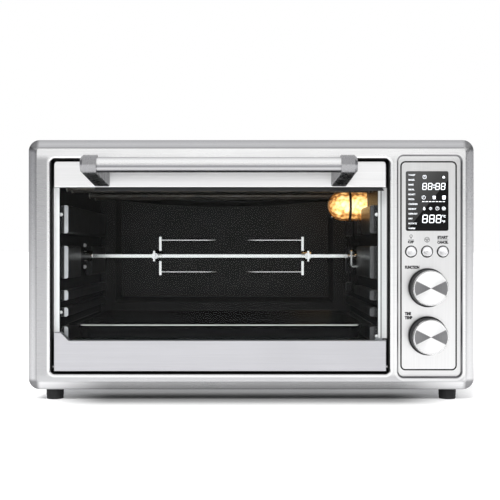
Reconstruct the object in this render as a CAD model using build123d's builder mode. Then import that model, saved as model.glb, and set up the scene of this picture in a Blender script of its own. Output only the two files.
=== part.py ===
"""Countertop toaster oven with a rotisserie, as an assembly of separate pieces.

Millimetres. +X is the oven's right as a user faces it, +Y runs from the door to the back, +Z is up.
The origin is the centre of the whole oven's footprint, on the surface that the feet stand on.
"""

import os
from math import acos, cos, degrees, radians, sin

from build123d import *

os.makedirs("parts", exist_ok=True)

# --- Driving dimensions -------------------------------------------------------------------------
OVEN_WIDTH = 482.0
OVEN_HEIGHT = 281.6
OVEN_DEPTH = 404.0  # from the front of the door handle to the rear bumpers
HANDLE_REACH = 49.0  # the handle's front, ahead of the front frame
SHEET = 1.0  # gauge of the sheet steel

# Front frame: a pressed stainless surround with a bevelled rim
FRAME_BOTTOM = 11.6
FRAME_FACE = -OVEN_DEPTH / 2 + HANDLE_REACH
FRAME_BACK = FRAME_FACE + 16.0
FRAME_SKIN = 1.2
FRAME_CORNER = 12.0
BEVEL_WIDTH = 9.0
BEVEL_DEPTH = 5.0
OPENING_X = (-217.0, 149.6)  # the door's opening in the frame
OPENING_Z = (28.5, 261.4)
POCKET_X = (158.8, 226.6)  # the sunk border around the controls
POCKET_Z = (25.7, 264.2)
POCKET_DEPTH = 3.0

# Outer casing
SHELL_X = 234.0
SHELL_TOP = 276.0
SHELL_CORNER = 10.0
SHELL_BACK = 190.0
BASE_Z = 14.0

# Cooking cavity, measured on its inside faces
CAVITY_X = (-210.0, 139.0)
CAVITY_Y = (FRAME_BACK + SHEET, 158.0)
CAVITY_Z = (43.0, 242.0)
GUIDE_DEPTH = 8.0  # how far the stamped rack guides stand in from the side walls
GUIDE_SKIN = 1.2
GUIDE_BANDS = ((61.0, 78.0), (89.0, 99.0), (107.0, 118.0), (131.0, 167.0), (181.0, 212.0))

# Door, hinged along its lower edge
DOOR_X = (-213.8, 146.3)
DOOR_Z = (31.0, 258.7)
DOOR_FACE = FRAME_FACE + 3.0
DOOR_BACK = DOOR_FACE + 9.0
TOP_RAIL_BOTTOM = 230.4
BOTTOM_RAIL_TOP = 64.6
RAIL_SKIN = 1.5
GLASS_Y = (DOOR_FACE + 2.5, DOOR_FACE + 6.5)
HINGE_Y = DOOR_FACE + 4.5
HINGE_Z = 36.0
PIN_RADIUS = 2.0
RUNNING_GAP = 0.05

# Hinge arms: arcs about the hinge, each pulled back by an extension spring
ARM_RADIUS = 27.0
ARM_HALF = 2.5
ARM_THICK = 1.5
ARM_X = (-214.0, 141.5)  # the left face of each arm
ARM_TAIL = -22.0
TAIL_Y = HINGE_Y + ARM_RADIUS * cos(radians(ARM_TAIL))
TAIL_Z = HINGE_Z + ARM_RADIUS * sin(radians(ARM_TAIL))
ANCHOR_Y = -52.0

# Handle
HANDLE_Z = 251.0
TUBE_RADIUS = 8.0
CAP_RADIUS = 10.4
CAP_LENGTH = 17.0
HANDLE_X = (-177.0, 110.0)

# Controls
FASCIA_X = (162.7, 220.8)
FASCIA_Z = (33.8, 257.1)
FASCIA_FACE = FRAME_FACE + POCKET_DEPTH - 0.3
FASCIA_BACK = FASCIA_FACE + 2.0
CARRIER_BACK = FASCIA_BACK + 2.5
WINDOW_X = (167.2, 213.2)
WINDOW_Z = (183.3, 247.6)
BUTTON_Z = 160.8
BUTTON_RADIUS = 5.5
BUTTON_X = {"light_button": 172.8, "fan_button": 190.1, "start_button": 207.2}
BUTTON_TRAVEL = 1.2
KNOB_X = 190.6
KNOB_Z = {"function": 121.8, "setting": 69.9}
KNOB_RADIUS = 21.0
KNOB_DEPTH = 21.0
SHAFT_RADIUS = 3.0
BOARD_Y = (FRAME_BACK, FRAME_BACK + 1.6)

# Rotisserie and fan
SPIT_Y = 20.0
SPIT_Z = 155.0
SPIT_SIDE = 4.0
FAN_Y = 85.0
FAN_Z = 150.0
LAMP_Y = -22.0
LAMP_Z = 216.0

# Heating elements, by their centres
HEATER_RADIUS = 3.25
UPPER_HEATER_Y = (-95.0, -62.0, 62.0, 110.0)
UPPER_HEATER_Z = 233.0
LOWER_HEATER_Y = (-60.0, 100.0)
LOWER_HEATER_Z = 56.0

# Trays
PAN_X = (-208.0, 137.0)  # over the flange that rides on the guides
PAN_Y = (-118.0, 148.0)
PAN_Z = (62.0, 79.3)
PAN_CORNER = 20.0
CRUMB_X = (-200.0, 129.0)
CRUMB_Y = (-128.0, 150.0)
CRUMB_Z = (43.4, 50.4)

# Feet
FOOT_RADIUS = 9.4
FOOT_AT = ((-215.0, -128.5), (215.0, -128.5), (-212.0, 160.0), (212.0, 160.0))  # each foot's screw
FRONT_PAD_OFFSET = -6.0  # the front pads stand ahead of their screws, under the frame


# --- Helpers ------------------------------------------------------------------------------------
def front_plane(y):
    """A sketch plane facing the user at a depth y; its own x and y are the oven's X and Z."""
    return Plane.XZ.offset(-y)


def side_plane(x):
    """A sketch plane facing right at a width x; its own x and y are the oven's Y and Z."""
    return Plane.YZ.offset(x)


def rectangle(across, up, radius=0.0, mode=Mode.ADD):
    """Draw a rectangle from its two spans, with its corners rounded if a radius is given."""
    width, height = across[1] - across[0], up[1] - up[0]
    with Locations((sum(across) / 2, sum(up) / 2)):
        if radius:
            RectangleRounded(width, height, radius, mode=mode)
        else:
            Rectangle(width, height, mode=mode)


def block(x, y, z, mode=Mode.ADD):
    """Place a box from its three spans."""
    with Locations((sum(x) / 2, sum(y) / 2, sum(z) / 2)):
        Box(x[1] - x[0], y[1] - y[0], z[1] - z[0], mode=mode)


def rod_x(x, y, z, radius, mode=Mode.ADD):
    """Place a round bar that runs across the oven, from x[0] to x[1]."""
    with Locations(Location(((x[0] + x[1]) / 2, y, z), (0, 90, 0))):
        Cylinder(radius, x[1] - x[0], mode=mode)


def rod_y(x, y, z, radius, mode=Mode.ADD):
    """Place a round bar that runs from front to back, from y[0] to y[1]."""
    with Locations(Location((x, (y[0] + y[1]) / 2, z), (90, 0, 0))):
        Cylinder(radius, y[1] - y[0], mode=mode)


def rod_z(x, y, z, radius, mode=Mode.ADD):
    """Place an upright round bar, from z[0] to z[1]."""
    with Locations((x, y, (z[0] + z[1]) / 2)):
        Cylinder(radius, z[1] - z[0], mode=mode)


def save(piece, node):
    """Label a finished piece and write it as its own STEP file."""
    piece.part.label = node
    export_step(piece.part, f"parts/{node}.step")


# --- Front frame --------------------------------------------------------------------------------
def frame_block(inset, back):
    """Build the frame's bevelled outline as a solid block, drawn in all round by an inset."""
    outer_x = (-OVEN_WIDTH / 2 + inset, OVEN_WIDTH / 2 - inset)
    outer_z = (FRAME_BOTTOM + inset, OVEN_HEIGHT - inset)
    face_x = (outer_x[0] + BEVEL_WIDTH, outer_x[1] - BEVEL_WIDTH)
    face_z = (outer_z[0] + BEVEL_WIDTH, outer_z[1] - BEVEL_WIDTH)
    bevel_foot = FRAME_FACE + BEVEL_DEPTH + inset
    with BuildPart() as whole:
        with BuildSketch(front_plane(bevel_foot)):
            rectangle(outer_x, outer_z, FRAME_CORNER - inset)
        with BuildSketch(front_plane(FRAME_FACE + inset)):
            rectangle(face_x, face_z, FRAME_CORNER / 2 - inset)
        loft()
        with BuildSketch(front_plane(bevel_foot)):
            rectangle(outer_x, outer_z, FRAME_CORNER - inset)
        extrude(amount=bevel_foot - back)
    return whole


def widen(span, margin):
    """Move both ends of a span outwards by a margin."""
    return (span[0] - margin, span[1] + margin)


FRAME_LIP = SHEET * 0.8
frame_hollow = frame_block(FRAME_SKIN, FRAME_BACK - FRAME_LIP)
with BuildPart() as frame_hollow_open:
    add(frame_hollow.part)
    with BuildSketch(front_plane(FRAME_BACK + 1)):
        rectangle(
            (-SHELL_X - 0.3, SHELL_X + 0.3),
            (BASE_Z - 0.5, SHELL_TOP + 0.3),
            SHELL_CORNER,
        )
    extrude(amount=4)
    with BuildSketch(front_plane(FRAME_BACK + 2)):
        rectangle(widen(OPENING_X, FRAME_SKIN), widen(OPENING_Z, FRAME_SKIN), 6)
    extrude(amount=30, mode=Mode.SUBTRACT)
    with BuildSketch(front_plane(FRAME_FACE + POCKET_DEPTH + FRAME_SKIN)):
        rectangle(widen(POCKET_X, FRAME_SKIN), widen(POCKET_Z, FRAME_SKIN), 6)
    extrude(amount=30, mode=Mode.SUBTRACT)

with BuildPart() as front_frame:
    add(frame_block(0, FRAME_BACK).part)
    with BuildSketch(front_plane(FRAME_BACK + 1)):
        rectangle(OPENING_X, OPENING_Z, 5)
    extrude(amount=30, mode=Mode.SUBTRACT)
    with BuildSketch(front_plane(FRAME_FACE + POCKET_DEPTH)):
        rectangle(POCKET_X, POCKET_Z, 6)
    extrude(amount=POCKET_DEPTH + 1, mode=Mode.SUBTRACT)
    face_edges = front_frame.faces().sort_by(Axis.Y)[0].edges()
    fillet(face_edges, 1.8)
    add(frame_hollow_open.part, mode=Mode.SUBTRACT)
    with BuildSketch(front_plane(FRAME_BACK + 1)):
        rectangle(widen(FASCIA_X, 0.6), widen(FASCIA_Z, 0.6), 4.4)
    extrude(amount=30, mode=Mode.SUBTRACT)
    for side in ((-225, -212), (144, 155)):
        rod_x(side, HINGE_Y, HINGE_Z, PIN_RADIUS + 0.6, Mode.SUBTRACT)
save(front_frame, "front_frame")

# --- Outer casing -------------------------------------------------------------------------------
SHELL_FRONT = FRAME_BACK - 3.0  # its front edge is tucked inside the frame
with BuildPart() as outer_shell:
    with BuildSketch(front_plane(SHELL_BACK)):
        rectangle((-SHELL_X, SHELL_X), (-SHELL_TOP, SHELL_TOP), SHELL_CORNER)
        rectangle(
            (-SHELL_X + SHEET, SHELL_X - SHEET),
            (-SHELL_TOP + SHEET, SHELL_TOP - SHEET),
            SHELL_CORNER - SHEET,
            Mode.SUBTRACT,
        )
        rectangle((-SHELL_X, SHELL_X), (-SHELL_TOP, BASE_Z), mode=Mode.SUBTRACT)
    extrude(amount=SHELL_BACK - SHELL_FRONT)
    block((-SHELL_X - 1, SHELL_X + 1), (SHELL_FRONT - 1, FRAME_BACK), (BASE_Z - 1, 28), Mode.SUBTRACT)
    with BuildSketch(side_plane(-SHELL_X - 1)):
        for row_z in (236.0, 206.0):
            with Locations((30, row_z)):
                with GridLocations(9, 0, 20, 1):
                    SlotOverall(20, 3.2, rotation=90)
    extrude(amount=2 * SHELL_X + 2, mode=Mode.SUBTRACT)
    with BuildSketch(side_plane(SHELL_X - 3)):
        with Locations((30, 60)):
            with GridLocations(9, 0, 20, 1):
                SlotOverall(20, 3.2, rotation=90)
    extrude(amount=5, mode=Mode.SUBTRACT)
save(outer_shell, "outer_shell")

GLAND_X, GLAND_Z = 196.0, 44.0
GLAND_RADIUS = 8.0
PANEL_Y = (SHELL_BACK - 2.0, SHELL_BACK - 1.0)
BOSS_X = (-180.0, 120.0)
BOSS_Z = (60.0, 240.0)
BOSS_RISE = 6.0
with BuildPart() as back_panel:
    with BuildSketch(front_plane(PANEL_Y[1])):
        rectangle((-SHELL_X + SHEET, SHELL_X - SHEET), (BASE_Z, SHELL_TOP - SHEET), SHELL_CORNER - 1)
    extrude(amount=SHEET)
    with BuildSketch(front_plane(PANEL_Y[1])):
        rectangle(BOSS_X, BOSS_Z, 12)
    extrude(amount=-BOSS_RISE, taper=35)
    with BuildSketch(front_plane(PANEL_Y[0])):
        rectangle(widen(BOSS_X, -SHEET), widen(BOSS_Z, -SHEET), 11)
    extrude(amount=-BOSS_RISE, taper=35, mode=Mode.SUBTRACT)
    with BuildSketch(front_plane(SHELL_BACK + BOSS_RISE)):
        for row_z in (205.0, 178.0, 122.0, 95.0):
            with Locations((-30, row_z)):
                with GridLocations(10, 0, 18, 1):
                    SlotOverall(18, 3.5, rotation=90)
        with Locations((196, 190)):
            with GridLocations(8, 0, 6, 1):
                SlotOverall(60, 3.5, rotation=90)
    extrude(amount=12, mode=Mode.SUBTRACT)
    rod_y(GLAND_X, (SHELL_BACK - 8, SHELL_BACK + 8), GLAND_Z, GLAND_RADIUS, Mode.SUBTRACT)
save(back_panel, "back_panel")

with BuildPart() as base_plate:
    block((-SHELL_X + SHEET, SHELL_X - SHEET), (FRAME_BACK + SHEET, PANEL_Y[0]), (BASE_Z, BASE_Z + SHEET))
    for edge in ((-SHELL_X + SHEET, -SHELL_X + 2 * SHEET), (SHELL_X - 2 * SHEET, SHELL_X - SHEET)):
        block(edge, (FRAME_BACK + 4, PANEL_Y[0]), (BASE_Z + SHEET, BASE_Z + 11))
    with BuildSketch(Plane.XY.offset(BASE_Z - 1)):
        for row_y in (-60.0, 30.0, 110.0):
            with Locations((-35, row_y)):
                with GridLocations(14, 0, 20, 1):
                    SlotOverall(30, 4, rotation=90)
        with Locations((186, 0)):
            with GridLocations(12, 0, 5, 1):
                SlotOverall(60, 4, rotation=90)
    extrude(amount=3, mode=Mode.SUBTRACT)
    for foot_x, foot_y in FOOT_AT:
        rod_z(foot_x, foot_y, (BASE_Z - 1, BASE_Z + 2), 2.0, Mode.SUBTRACT)
    for arm_x in ARM_X:
        block((arm_x, arm_x + ARM_THICK), (ANCHOR_Y, ANCHOR_Y + 10), (BASE_Z + SHEET / 2, TAIL_Z + 5))
save(base_plate, "base_plate")

with BuildPart() as cord_gland:
    rod_y(GLAND_X, (PANEL_Y[0] - 2, PANEL_Y[1] + 2), GLAND_Z, GLAND_RADIUS + 3)
    rod_y(GLAND_X, (PANEL_Y[1] + 2, PANEL_Y[1] + 9), GLAND_Z, GLAND_RADIUS - 1.5)
    with BuildSketch(front_plane(PANEL_Y[1])):
        with Locations((GLAND_X, GLAND_Z)):
            Circle(GLAND_RADIUS + 4)
            Circle(GLAND_RADIUS - 0.05, mode=Mode.SUBTRACT)
    extrude(amount=SHEET, mode=Mode.SUBTRACT)
    rod_y(GLAND_X, (PANEL_Y[0] - 3, PANEL_Y[1] + 10), GLAND_Z, 4.0, Mode.SUBTRACT)
save(cord_gland, "cord_gland")

with BuildPart() as rear_bumpers:
    for bumper_x in (-205.0, 205.0):
        rod_y(bumper_x, (PANEL_Y[1], OVEN_DEPTH / 2), 250.0, 7.0)
    chamfer(rear_bumpers.faces().sort_by(Axis.Y)[-2:].edges(), 1.5)
save(rear_bumpers, "rear_bumpers")

with BuildPart() as feet:
    for foot_x, foot_y in FOOT_AT:
        pad_y, boss_radius = (foot_y + FRONT_PAD_OFFSET, 6.5) if foot_y < 0 else (foot_y, FOOT_RADIUS)
        rod_z(foot_x, pad_y, (0, 4.0), FOOT_RADIUS - 0.3)
        chamfer(feet.edges().filter_by(GeomType.CIRCLE).group_by(Axis.Z)[0].sort_by_distance(
            (foot_x, pad_y, 0))[0], 0.6)
        rod_z(foot_x, pad_y, (4.0, FRAME_BOTTOM - 0.3), FOOT_RADIUS)
        rod_z(foot_x, foot_y, (FRAME_BOTTOM - 0.3, BASE_Z), boss_radius)
        rod_z(foot_x, foot_y, (BASE_Z - 9, BASE_Z + 1), 1.75, Mode.SUBTRACT)
save(feet, "feet")

with BuildPart() as case_screws:
    for screw_x in (-222.0, -120.0, 60.0, 222.0):
        for screw_z in (26.0, 266.0):
            rod_y(screw_x, (PANEL_Y[1], PANEL_Y[1] + 2.2), screw_z, 3.6)
            with Locations((screw_x, PANEL_Y[1] + 2.2, screw_z)):
                Box(4.4, 1.6, 0.9, mode=Mode.SUBTRACT)
                Box(0.9, 1.6, 4.4, mode=Mode.SUBTRACT)
    for foot_x, foot_y in FOOT_AT:
        rod_z(foot_x, foot_y, (BASE_Z - 8, BASE_Z + SHEET), 1.7)
        rod_z(foot_x, foot_y, (BASE_Z + SHEET, BASE_Z + SHEET + 2), 3.5)
save(case_screws, "case_screws")

# --- Cooking cavity -----------------------------------------------------------------------------
ARM_SLOT_Z = (HINGE_Z + 19.0, HINGE_Z + 30.0)
WALL_X = (CAVITY_X[0] - SHEET, CAVITY_X[1] + SHEET)
with BuildPart() as face_plate:
    with BuildSketch(front_plane(FRAME_BACK)):
        rectangle((-229.0, 156.0), (20.0, 272.0), 4)
        rectangle(CAVITY_X, CAVITY_Z, 3, Mode.SUBTRACT)
        for arm_x in ARM_X:
            rectangle(widen((arm_x, arm_x + ARM_THICK), 0.8), ARM_SLOT_Z, mode=Mode.SUBTRACT)
    extrude(amount=-SHEET)
save(face_plate, "face_plate")

SOCKET_RADIUS = 7.0
SPIT_SCREW_Z = (SPIT_Z - 13.5, SPIT_Z + 13.5)
with BuildPart() as cavity_left_wall:
    block((WALL_X[0], CAVITY_X[0]), CAVITY_Y, CAVITY_Z)
    rod_x(widen((WALL_X[0], CAVITY_X[0]), 1), SPIT_Y, SPIT_Z, SOCKET_RADIUS + 0.5, Mode.SUBTRACT)
    for heater_y in UPPER_HEATER_Y:
        rod_x(widen((WALL_X[0], CAVITY_X[0]), 1), heater_y, UPPER_HEATER_Z, 4.2, Mode.SUBTRACT)
    for heater_y in LOWER_HEATER_Y:
        rod_x(widen((WALL_X[0], CAVITY_X[0]), 1), heater_y, LOWER_HEATER_Z, 4.2, Mode.SUBTRACT)
save(cavity_left_wall, "cavity_left_wall")

LAMP_HOLE = 14.5
PROBE_Y, PROBE_Z = 132.0, 208.0
with BuildPart() as cavity_right_wall:
    block((CAVITY_X[1], WALL_X[1]), CAVITY_Y, CAVITY_Z)
    wall_cut = widen((CAVITY_X[1], WALL_X[1]), 1)
    for heater_y in UPPER_HEATER_Y:
        rod_x(wall_cut, heater_y, UPPER_HEATER_Z, 4.2, Mode.SUBTRACT)
    for heater_y in LOWER_HEATER_Y:
        rod_x(wall_cut, heater_y, LOWER_HEATER_Z, 4.2, Mode.SUBTRACT)
    rod_x(wall_cut, LAMP_Y, LAMP_Z, LAMP_HOLE, Mode.SUBTRACT)
    rod_x(wall_cut, PROBE_Y, PROBE_Z, 3.2, Mode.SUBTRACT)
    with BuildSketch(side_plane(wall_cut[0])):
        with Locations((FAN_Y, FAN_Z)):
            Circle(2.6)
            for ring in (11.0, 22.0, 33.0, 44.0):
                with PolarLocations(ring, round(ring * 6 / 11)):
                    Circle(2.6)
    extrude(amount=3, mode=Mode.SUBTRACT)
save(cavity_right_wall, "cavity_right_wall")

with BuildPart() as cavity_ceiling:
    block(WALL_X, CAVITY_Y, (CAVITY_Z[1], CAVITY_Z[1] + SHEET))
save(cavity_ceiling, "cavity_ceiling")

with BuildPart() as cavity_floor:
    block(WALL_X, CAVITY_Y, (CAVITY_Z[0] - SHEET, CAVITY_Z[0]))
save(cavity_floor, "cavity_floor")

BULGE_X = (-189.5, 115.3)
BULGE_Z = (90.0, 238.0)
BULGE_SAG = 8.0
BULGE_RISE = 20.0


def bulge_outline(margin):
    """Draw the rear bulge's outline: straight sides and foot, and a top edge that sags in the middle."""
    left, right = BULGE_X[0] + margin, BULGE_X[1] - margin
    foot, top = BULGE_Z[0] + margin, BULGE_Z[1] - margin
    with BuildLine() as outline:
        Polyline((left, top), (left, foot), (right, foot), (right, top))
        ThreePointArc((right, top), ((left + right) / 2, top - BULGE_SAG), (left, top))
    make_face(outline.line)


BULGE_SLOPE = 6.0
with BuildPart() as cavity_back_wall:
    with BuildSketch(front_plane(CAVITY_Y[1])):
        rectangle(WALL_X, widen(CAVITY_Z, SHEET))
    extrude(amount=-SHEET)
    for skin, mode in ((SHEET, Mode.ADD), (0.0, Mode.SUBTRACT)):
        with BuildSketch(front_plane(CAVITY_Y[1])):
            bulge_outline(-skin)
        with BuildSketch(front_plane(CAVITY_Y[1] + BULGE_RISE + skin)):
            bulge_outline(BULGE_SLOPE - skin)
        loft(mode=mode)
save(cavity_back_wall, "cavity_back_wall")

GUIDE_Y = (-128.0, 150.0)
LEFT_GUIDE_X = (CAVITY_X[0], CAVITY_X[0] + GUIDE_DEPTH)
RIGHT_GUIDE_X = (CAVITY_X[1] - GUIDE_DEPTH, CAVITY_X[1])
with BuildPart() as rack_guides:
    for band in GUIDE_BANDS:
        block(LEFT_GUIDE_X, GUIDE_Y, band)
        block(RIGHT_GUIDE_X, GUIDE_Y, band)
    block(RIGHT_GUIDE_X, (FAN_Y - 51, FAN_Y + 51), (103.0, 215.0), Mode.SUBTRACT)
    block(RIGHT_GUIDE_X, (LAMP_Y - 23, LAMP_Y + 23), (175.0, 215.0), Mode.SUBTRACT)
    block(LEFT_GUIDE_X, (SPIT_Y - 66, SPIT_Y + 14), (125.0, 175.0), Mode.SUBTRACT)
    block(RIGHT_GUIDE_X, (SPIT_Y - 14, SPIT_Y + 14), (125.0, 175.0), Mode.SUBTRACT)
    inner_edges = rack_guides.edges().filter_by(Axis.Y).filter_by(
        lambda edge: CAVITY_X[0] + 1 < edge.center().X < CAVITY_X[1] - 1)
    fillet(inner_edges, 2.5)
    for guide in rack_guides.solids():
        box = guide.bounding_box()
        skin_left, skin_right = (0.0, GUIDE_SKIN) if box.min.X < 0 else (GUIDE_SKIN, 0.0)
        block(
            (box.min.X + skin_left, box.max.X - skin_right),
            (box.min.Y + GUIDE_SKIN, box.max.Y - GUIDE_SKIN),
            (box.min.Z + GUIDE_SKIN, box.max.Z - GUIDE_SKIN),
            Mode.SUBTRACT,
        )
save(rack_guides, "rack_guides")

RIVET_HEAD = 1.4
with BuildPart() as cavity_rivets:
    left_span = (CAVITY_X[0], CAVITY_X[0] + RIVET_HEAD)
    right_span = (CAVITY_X[1] - RIVET_HEAD, CAVITY_X[1])
    for rivet_z in (201.5, 94.0):
        rod_x(left_span, -132.0, rivet_z, 2.4)
    for rivet_z in (201.5, 67.5):
        rod_x(right_span, -132.0, rivet_z, 2.4)
    rod_x(right_span, 42.0, 236.5, 2.4)
    for rivet_z in SPIT_SCREW_Z:
        rod_x(left_span, SPIT_Y, rivet_z, 3.2)
save(cavity_rivets, "cavity_rivets")

# --- Heating elements ---------------------------------------------------------------------------
HEATER_X = (-224.0, 153.0)
with BuildPart() as heating_elements:
    for ys, level in ((UPPER_HEATER_Y, UPPER_HEATER_Z), (LOWER_HEATER_Y, LOWER_HEATER_Z)):
        for heater_y in ys:
            rod_x(HEATER_X, heater_y, level, HEATER_RADIUS)
            rod_x((HEATER_X[0] - 5, HEATER_X[0]), heater_y, level, 1.2)
            rod_x((HEATER_X[1], HEATER_X[1] + 5), heater_y, level, 1.2)
save(heating_elements, "heating_elements")

with BuildPart() as heater_bushings:
    for ys, level in ((UPPER_HEATER_Y, UPPER_HEATER_Z), (LOWER_HEATER_Y, LOWER_HEATER_Z)):
        for heater_y in ys:
            for body_x, neck_x in (
                ((WALL_X[0] - 8, WALL_X[0]), (WALL_X[0], CAVITY_X[0] + 1.5)),
                ((WALL_X[1], WALL_X[1] + 8), (CAVITY_X[1] - 1.5, WALL_X[1])),
            ):
                rod_x(body_x, heater_y, level, 6.5)
                rod_x(neck_x, heater_y, level, 4.1)
                rod_x(widen((min(body_x + neck_x), max(body_x + neck_x)), 1), heater_y, level,
                      HEATER_RADIUS + 0.05, Mode.SUBTRACT)
save(heater_bushings, "heater_bushings")

# --- Oven lamp ----------------------------------------------------------------------------------
LENS_RADIUS = 17.8
LENS_LENGTH = 46.0
LENS_WALL = 2.0
RING_X = (CAVITY_X[1] - 21.5, CAVITY_X[1] - 18.5)


def lens_profile(grow, depth):
    """Draw half of the lens's section: a straight collar that ends in a round nose."""
    radius = LENS_RADIUS + grow
    nose = LENS_LENGTH + grow - radius
    start = CAVITY_X[1] - depth
    with BuildLine() as outline:
        Polyline((CAVITY_X[1] - nose, LAMP_Z + radius), (start, LAMP_Z + radius), (start, LAMP_Z),
                 (CAVITY_X[1] - nose - radius, LAMP_Z))
        CenterArc((CAVITY_X[1] - nose, LAMP_Z), radius, 90, 90)
    make_face(outline.line)


lamp_axis = Axis((0, LAMP_Y, LAMP_Z), (1, 0, 0))
with BuildPart() as lamp_lens:
    for grow, depth, mode in ((0.0, 0.0, Mode.ADD), (-LENS_WALL, -1.0, Mode.SUBTRACT)):
        with BuildSketch(front_plane(LAMP_Y)):
            lens_profile(grow, depth)
        revolve(axis=lamp_axis, mode=mode)
save(lamp_lens, "lamp_lens")

with BuildPart() as lamp_ring:
    rod_x(RING_X, LAMP_Y, LAMP_Z, LENS_RADIUS + 1.6)
    rod_x(widen(RING_X, 1), LAMP_Y, LAMP_Z, LENS_RADIUS + 0.05, Mode.SUBTRACT)
    fillet(lamp_ring.edges().filter_by(GeomType.CIRCLE).group_by(SortBy.RADIUS)[-1], 0.7)
save(lamp_ring, "lamp_ring")

with BuildPart() as lamp_bulb:
    rod_x((CAVITY_X[1] - 8, WALL_X[1] + 3), LAMP_Y, LAMP_Z, 5.0)
    rod_x((CAVITY_X[1] - 24, CAVITY_X[1] - 8), LAMP_Y, LAMP_Z, 7.5)
    with Locations((CAVITY_X[1] - 24, LAMP_Y, LAMP_Z)):
        Sphere(7.5)
save(lamp_bulb, "lamp_bulb")

with BuildPart() as lamp_socket:
    rod_x((WALL_X[1], WALL_X[1] + 2), LAMP_Y, LAMP_Z, 23.0)
    rod_x((WALL_X[1] + 2, WALL_X[1] + 24), LAMP_Y, LAMP_Z, 13.0)
    rod_x((WALL_X[1] - 1, WALL_X[1] + 12), LAMP_Y, LAMP_Z, 5.1, Mode.SUBTRACT)
save(lamp_socket, "lamp_socket")

with BuildPart() as temperature_probe:
    rod_x((CAVITY_X[1] - 28, WALL_X[1] + 6), PROBE_Y, PROBE_Z, 2.5)
    rod_x((WALL_X[1], WALL_X[1] + 4), PROBE_Y, PROBE_Z, 6.0)
    with Locations((CAVITY_X[1] - 28, PROBE_Y, PROBE_Z)):
        Sphere(2.5)
save(temperature_probe, "temperature_probe")

# --- Convection fan -----------------------------------------------------------------------------
FAN_BOX_X = (WALL_X[1], WALL_X[1] + 30.0)
FAN_RADIUS = 50.0
with BuildPart() as fan_housing:
    rod_x(FAN_BOX_X, FAN_Y, FAN_Z, 58.0)
    rod_x((FAN_BOX_X[0], FAN_BOX_X[1] - SHEET), FAN_Y, FAN_Z, 57.0, Mode.SUBTRACT)
    rod_x((FAN_BOX_X[0], FAN_BOX_X[0] + SHEET), FAN_Y, FAN_Z, 64.0)
    rod_x((FAN_BOX_X[0], FAN_BOX_X[0] + SHEET), FAN_Y, FAN_Z, 57.0, Mode.SUBTRACT)
    rod_x(widen(FAN_BOX_X, 1), FAN_Y, FAN_Z, 4.0, Mode.SUBTRACT)
save(fan_housing, "fan_housing")

with BuildPart() as fan_blades:
    rod_x((150.0, 151.2), FAN_Y, FAN_Z, 26.0)
    rod_x((148.0, 160.0), FAN_Y, FAN_Z, 7.0)
    with BuildSketch(side_plane(148.0)):
        with Locations((FAN_Y, FAN_Z)):
            with PolarLocations(FAN_RADIUS - 16, 8):
                Rectangle(30, 1.2, rotation=22)
    extrude(amount=14)
    rod_x((147.0, 163.0), FAN_Y, FAN_Z, 2.55, Mode.SUBTRACT)
save(fan_blades, "fan_blades")

MOTOR_X = (FAN_BOX_X[1], FAN_BOX_X[1] + 34.0)
with BuildPart() as fan_shaft:
    rod_x((147.5, MOTOR_X[1] + 8), FAN_Y, FAN_Z, 2.5)
save(fan_shaft, "fan_shaft")

with BuildPart() as fan_motor:
    block(MOTOR_X, (FAN_Y - 24, FAN_Y + 24), (FAN_Z - 22, FAN_Z + 22))
    block((MOTOR_X[0] + 3, MOTOR_X[1] - 3), (FAN_Y - 15, FAN_Y + 15), (FAN_Z - 44, FAN_Z - 22))
    rod_x((MOTOR_X[1], MOTOR_X[1] + 5), FAN_Y, FAN_Z, 9.0)
    rod_x(widen(MOTOR_X, 6), FAN_Y, FAN_Z, 2.55, Mode.SUBTRACT)
save(fan_motor, "fan_motor")

# --- Rotisserie ---------------------------------------------------------------------------------
with BuildPart() as rotisserie_motor:
    rod_x((WALL_X[0] - 19, WALL_X[0] - 3), SPIT_Y - 8, SPIT_Z, 24.0)
    block((WALL_X[0] - 3, WALL_X[0]), (SPIT_Y - 16, SPIT_Y + 16), (SPIT_Z - 24, SPIT_Z + 24))
    rod_x((WALL_X[0] - 8, WALL_X[0] + 1), SPIT_Y, SPIT_Z, SOCKET_RADIUS + 0.3, Mode.SUBTRACT)
save(rotisserie_motor, "rotisserie_motor")

SOCKET_X = (WALL_X[0] - 7.0, CAVITY_X[0] + 11.0)
with BuildPart() as spit_socket:
    rod_x(SOCKET_X, SPIT_Y, SPIT_Z, SOCKET_RADIUS)
    chamfer(spit_socket.faces().sort_by(Axis.X)[-1].edges(), 1.0)
    block((SOCKET_X[1] - 12, SOCKET_X[1] + 1), widen((SPIT_Y, SPIT_Y), SPIT_SIDE / 2 + 0.25),
          widen((SPIT_Z, SPIT_Z), SPIT_SIDE / 2 + 0.25), Mode.SUBTRACT)
save(spit_socket, "spit_socket")

SPIT_LEFT = SOCKET_X[1] - 11.0
JOURNAL_X = (121.0, 130.0)
JOURNAL_RADIUS = 2.0
with BuildPart() as spit_rod:
    block((SPIT_LEFT, JOURNAL_X[0]), widen((SPIT_Y, SPIT_Y), SPIT_SIDE / 2),
          widen((SPIT_Z, SPIT_Z), SPIT_SIDE / 2))
    rod_x((JOURNAL_X[0], JOURNAL_X[1] + 3), SPIT_Y, SPIT_Z, JOURNAL_RADIUS)
    rod_x((JOURNAL_X[1], JOURNAL_X[1] + 3), SPIT_Y, SPIT_Z, 4.0)
save(spit_rod, "spit_rod")

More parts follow.
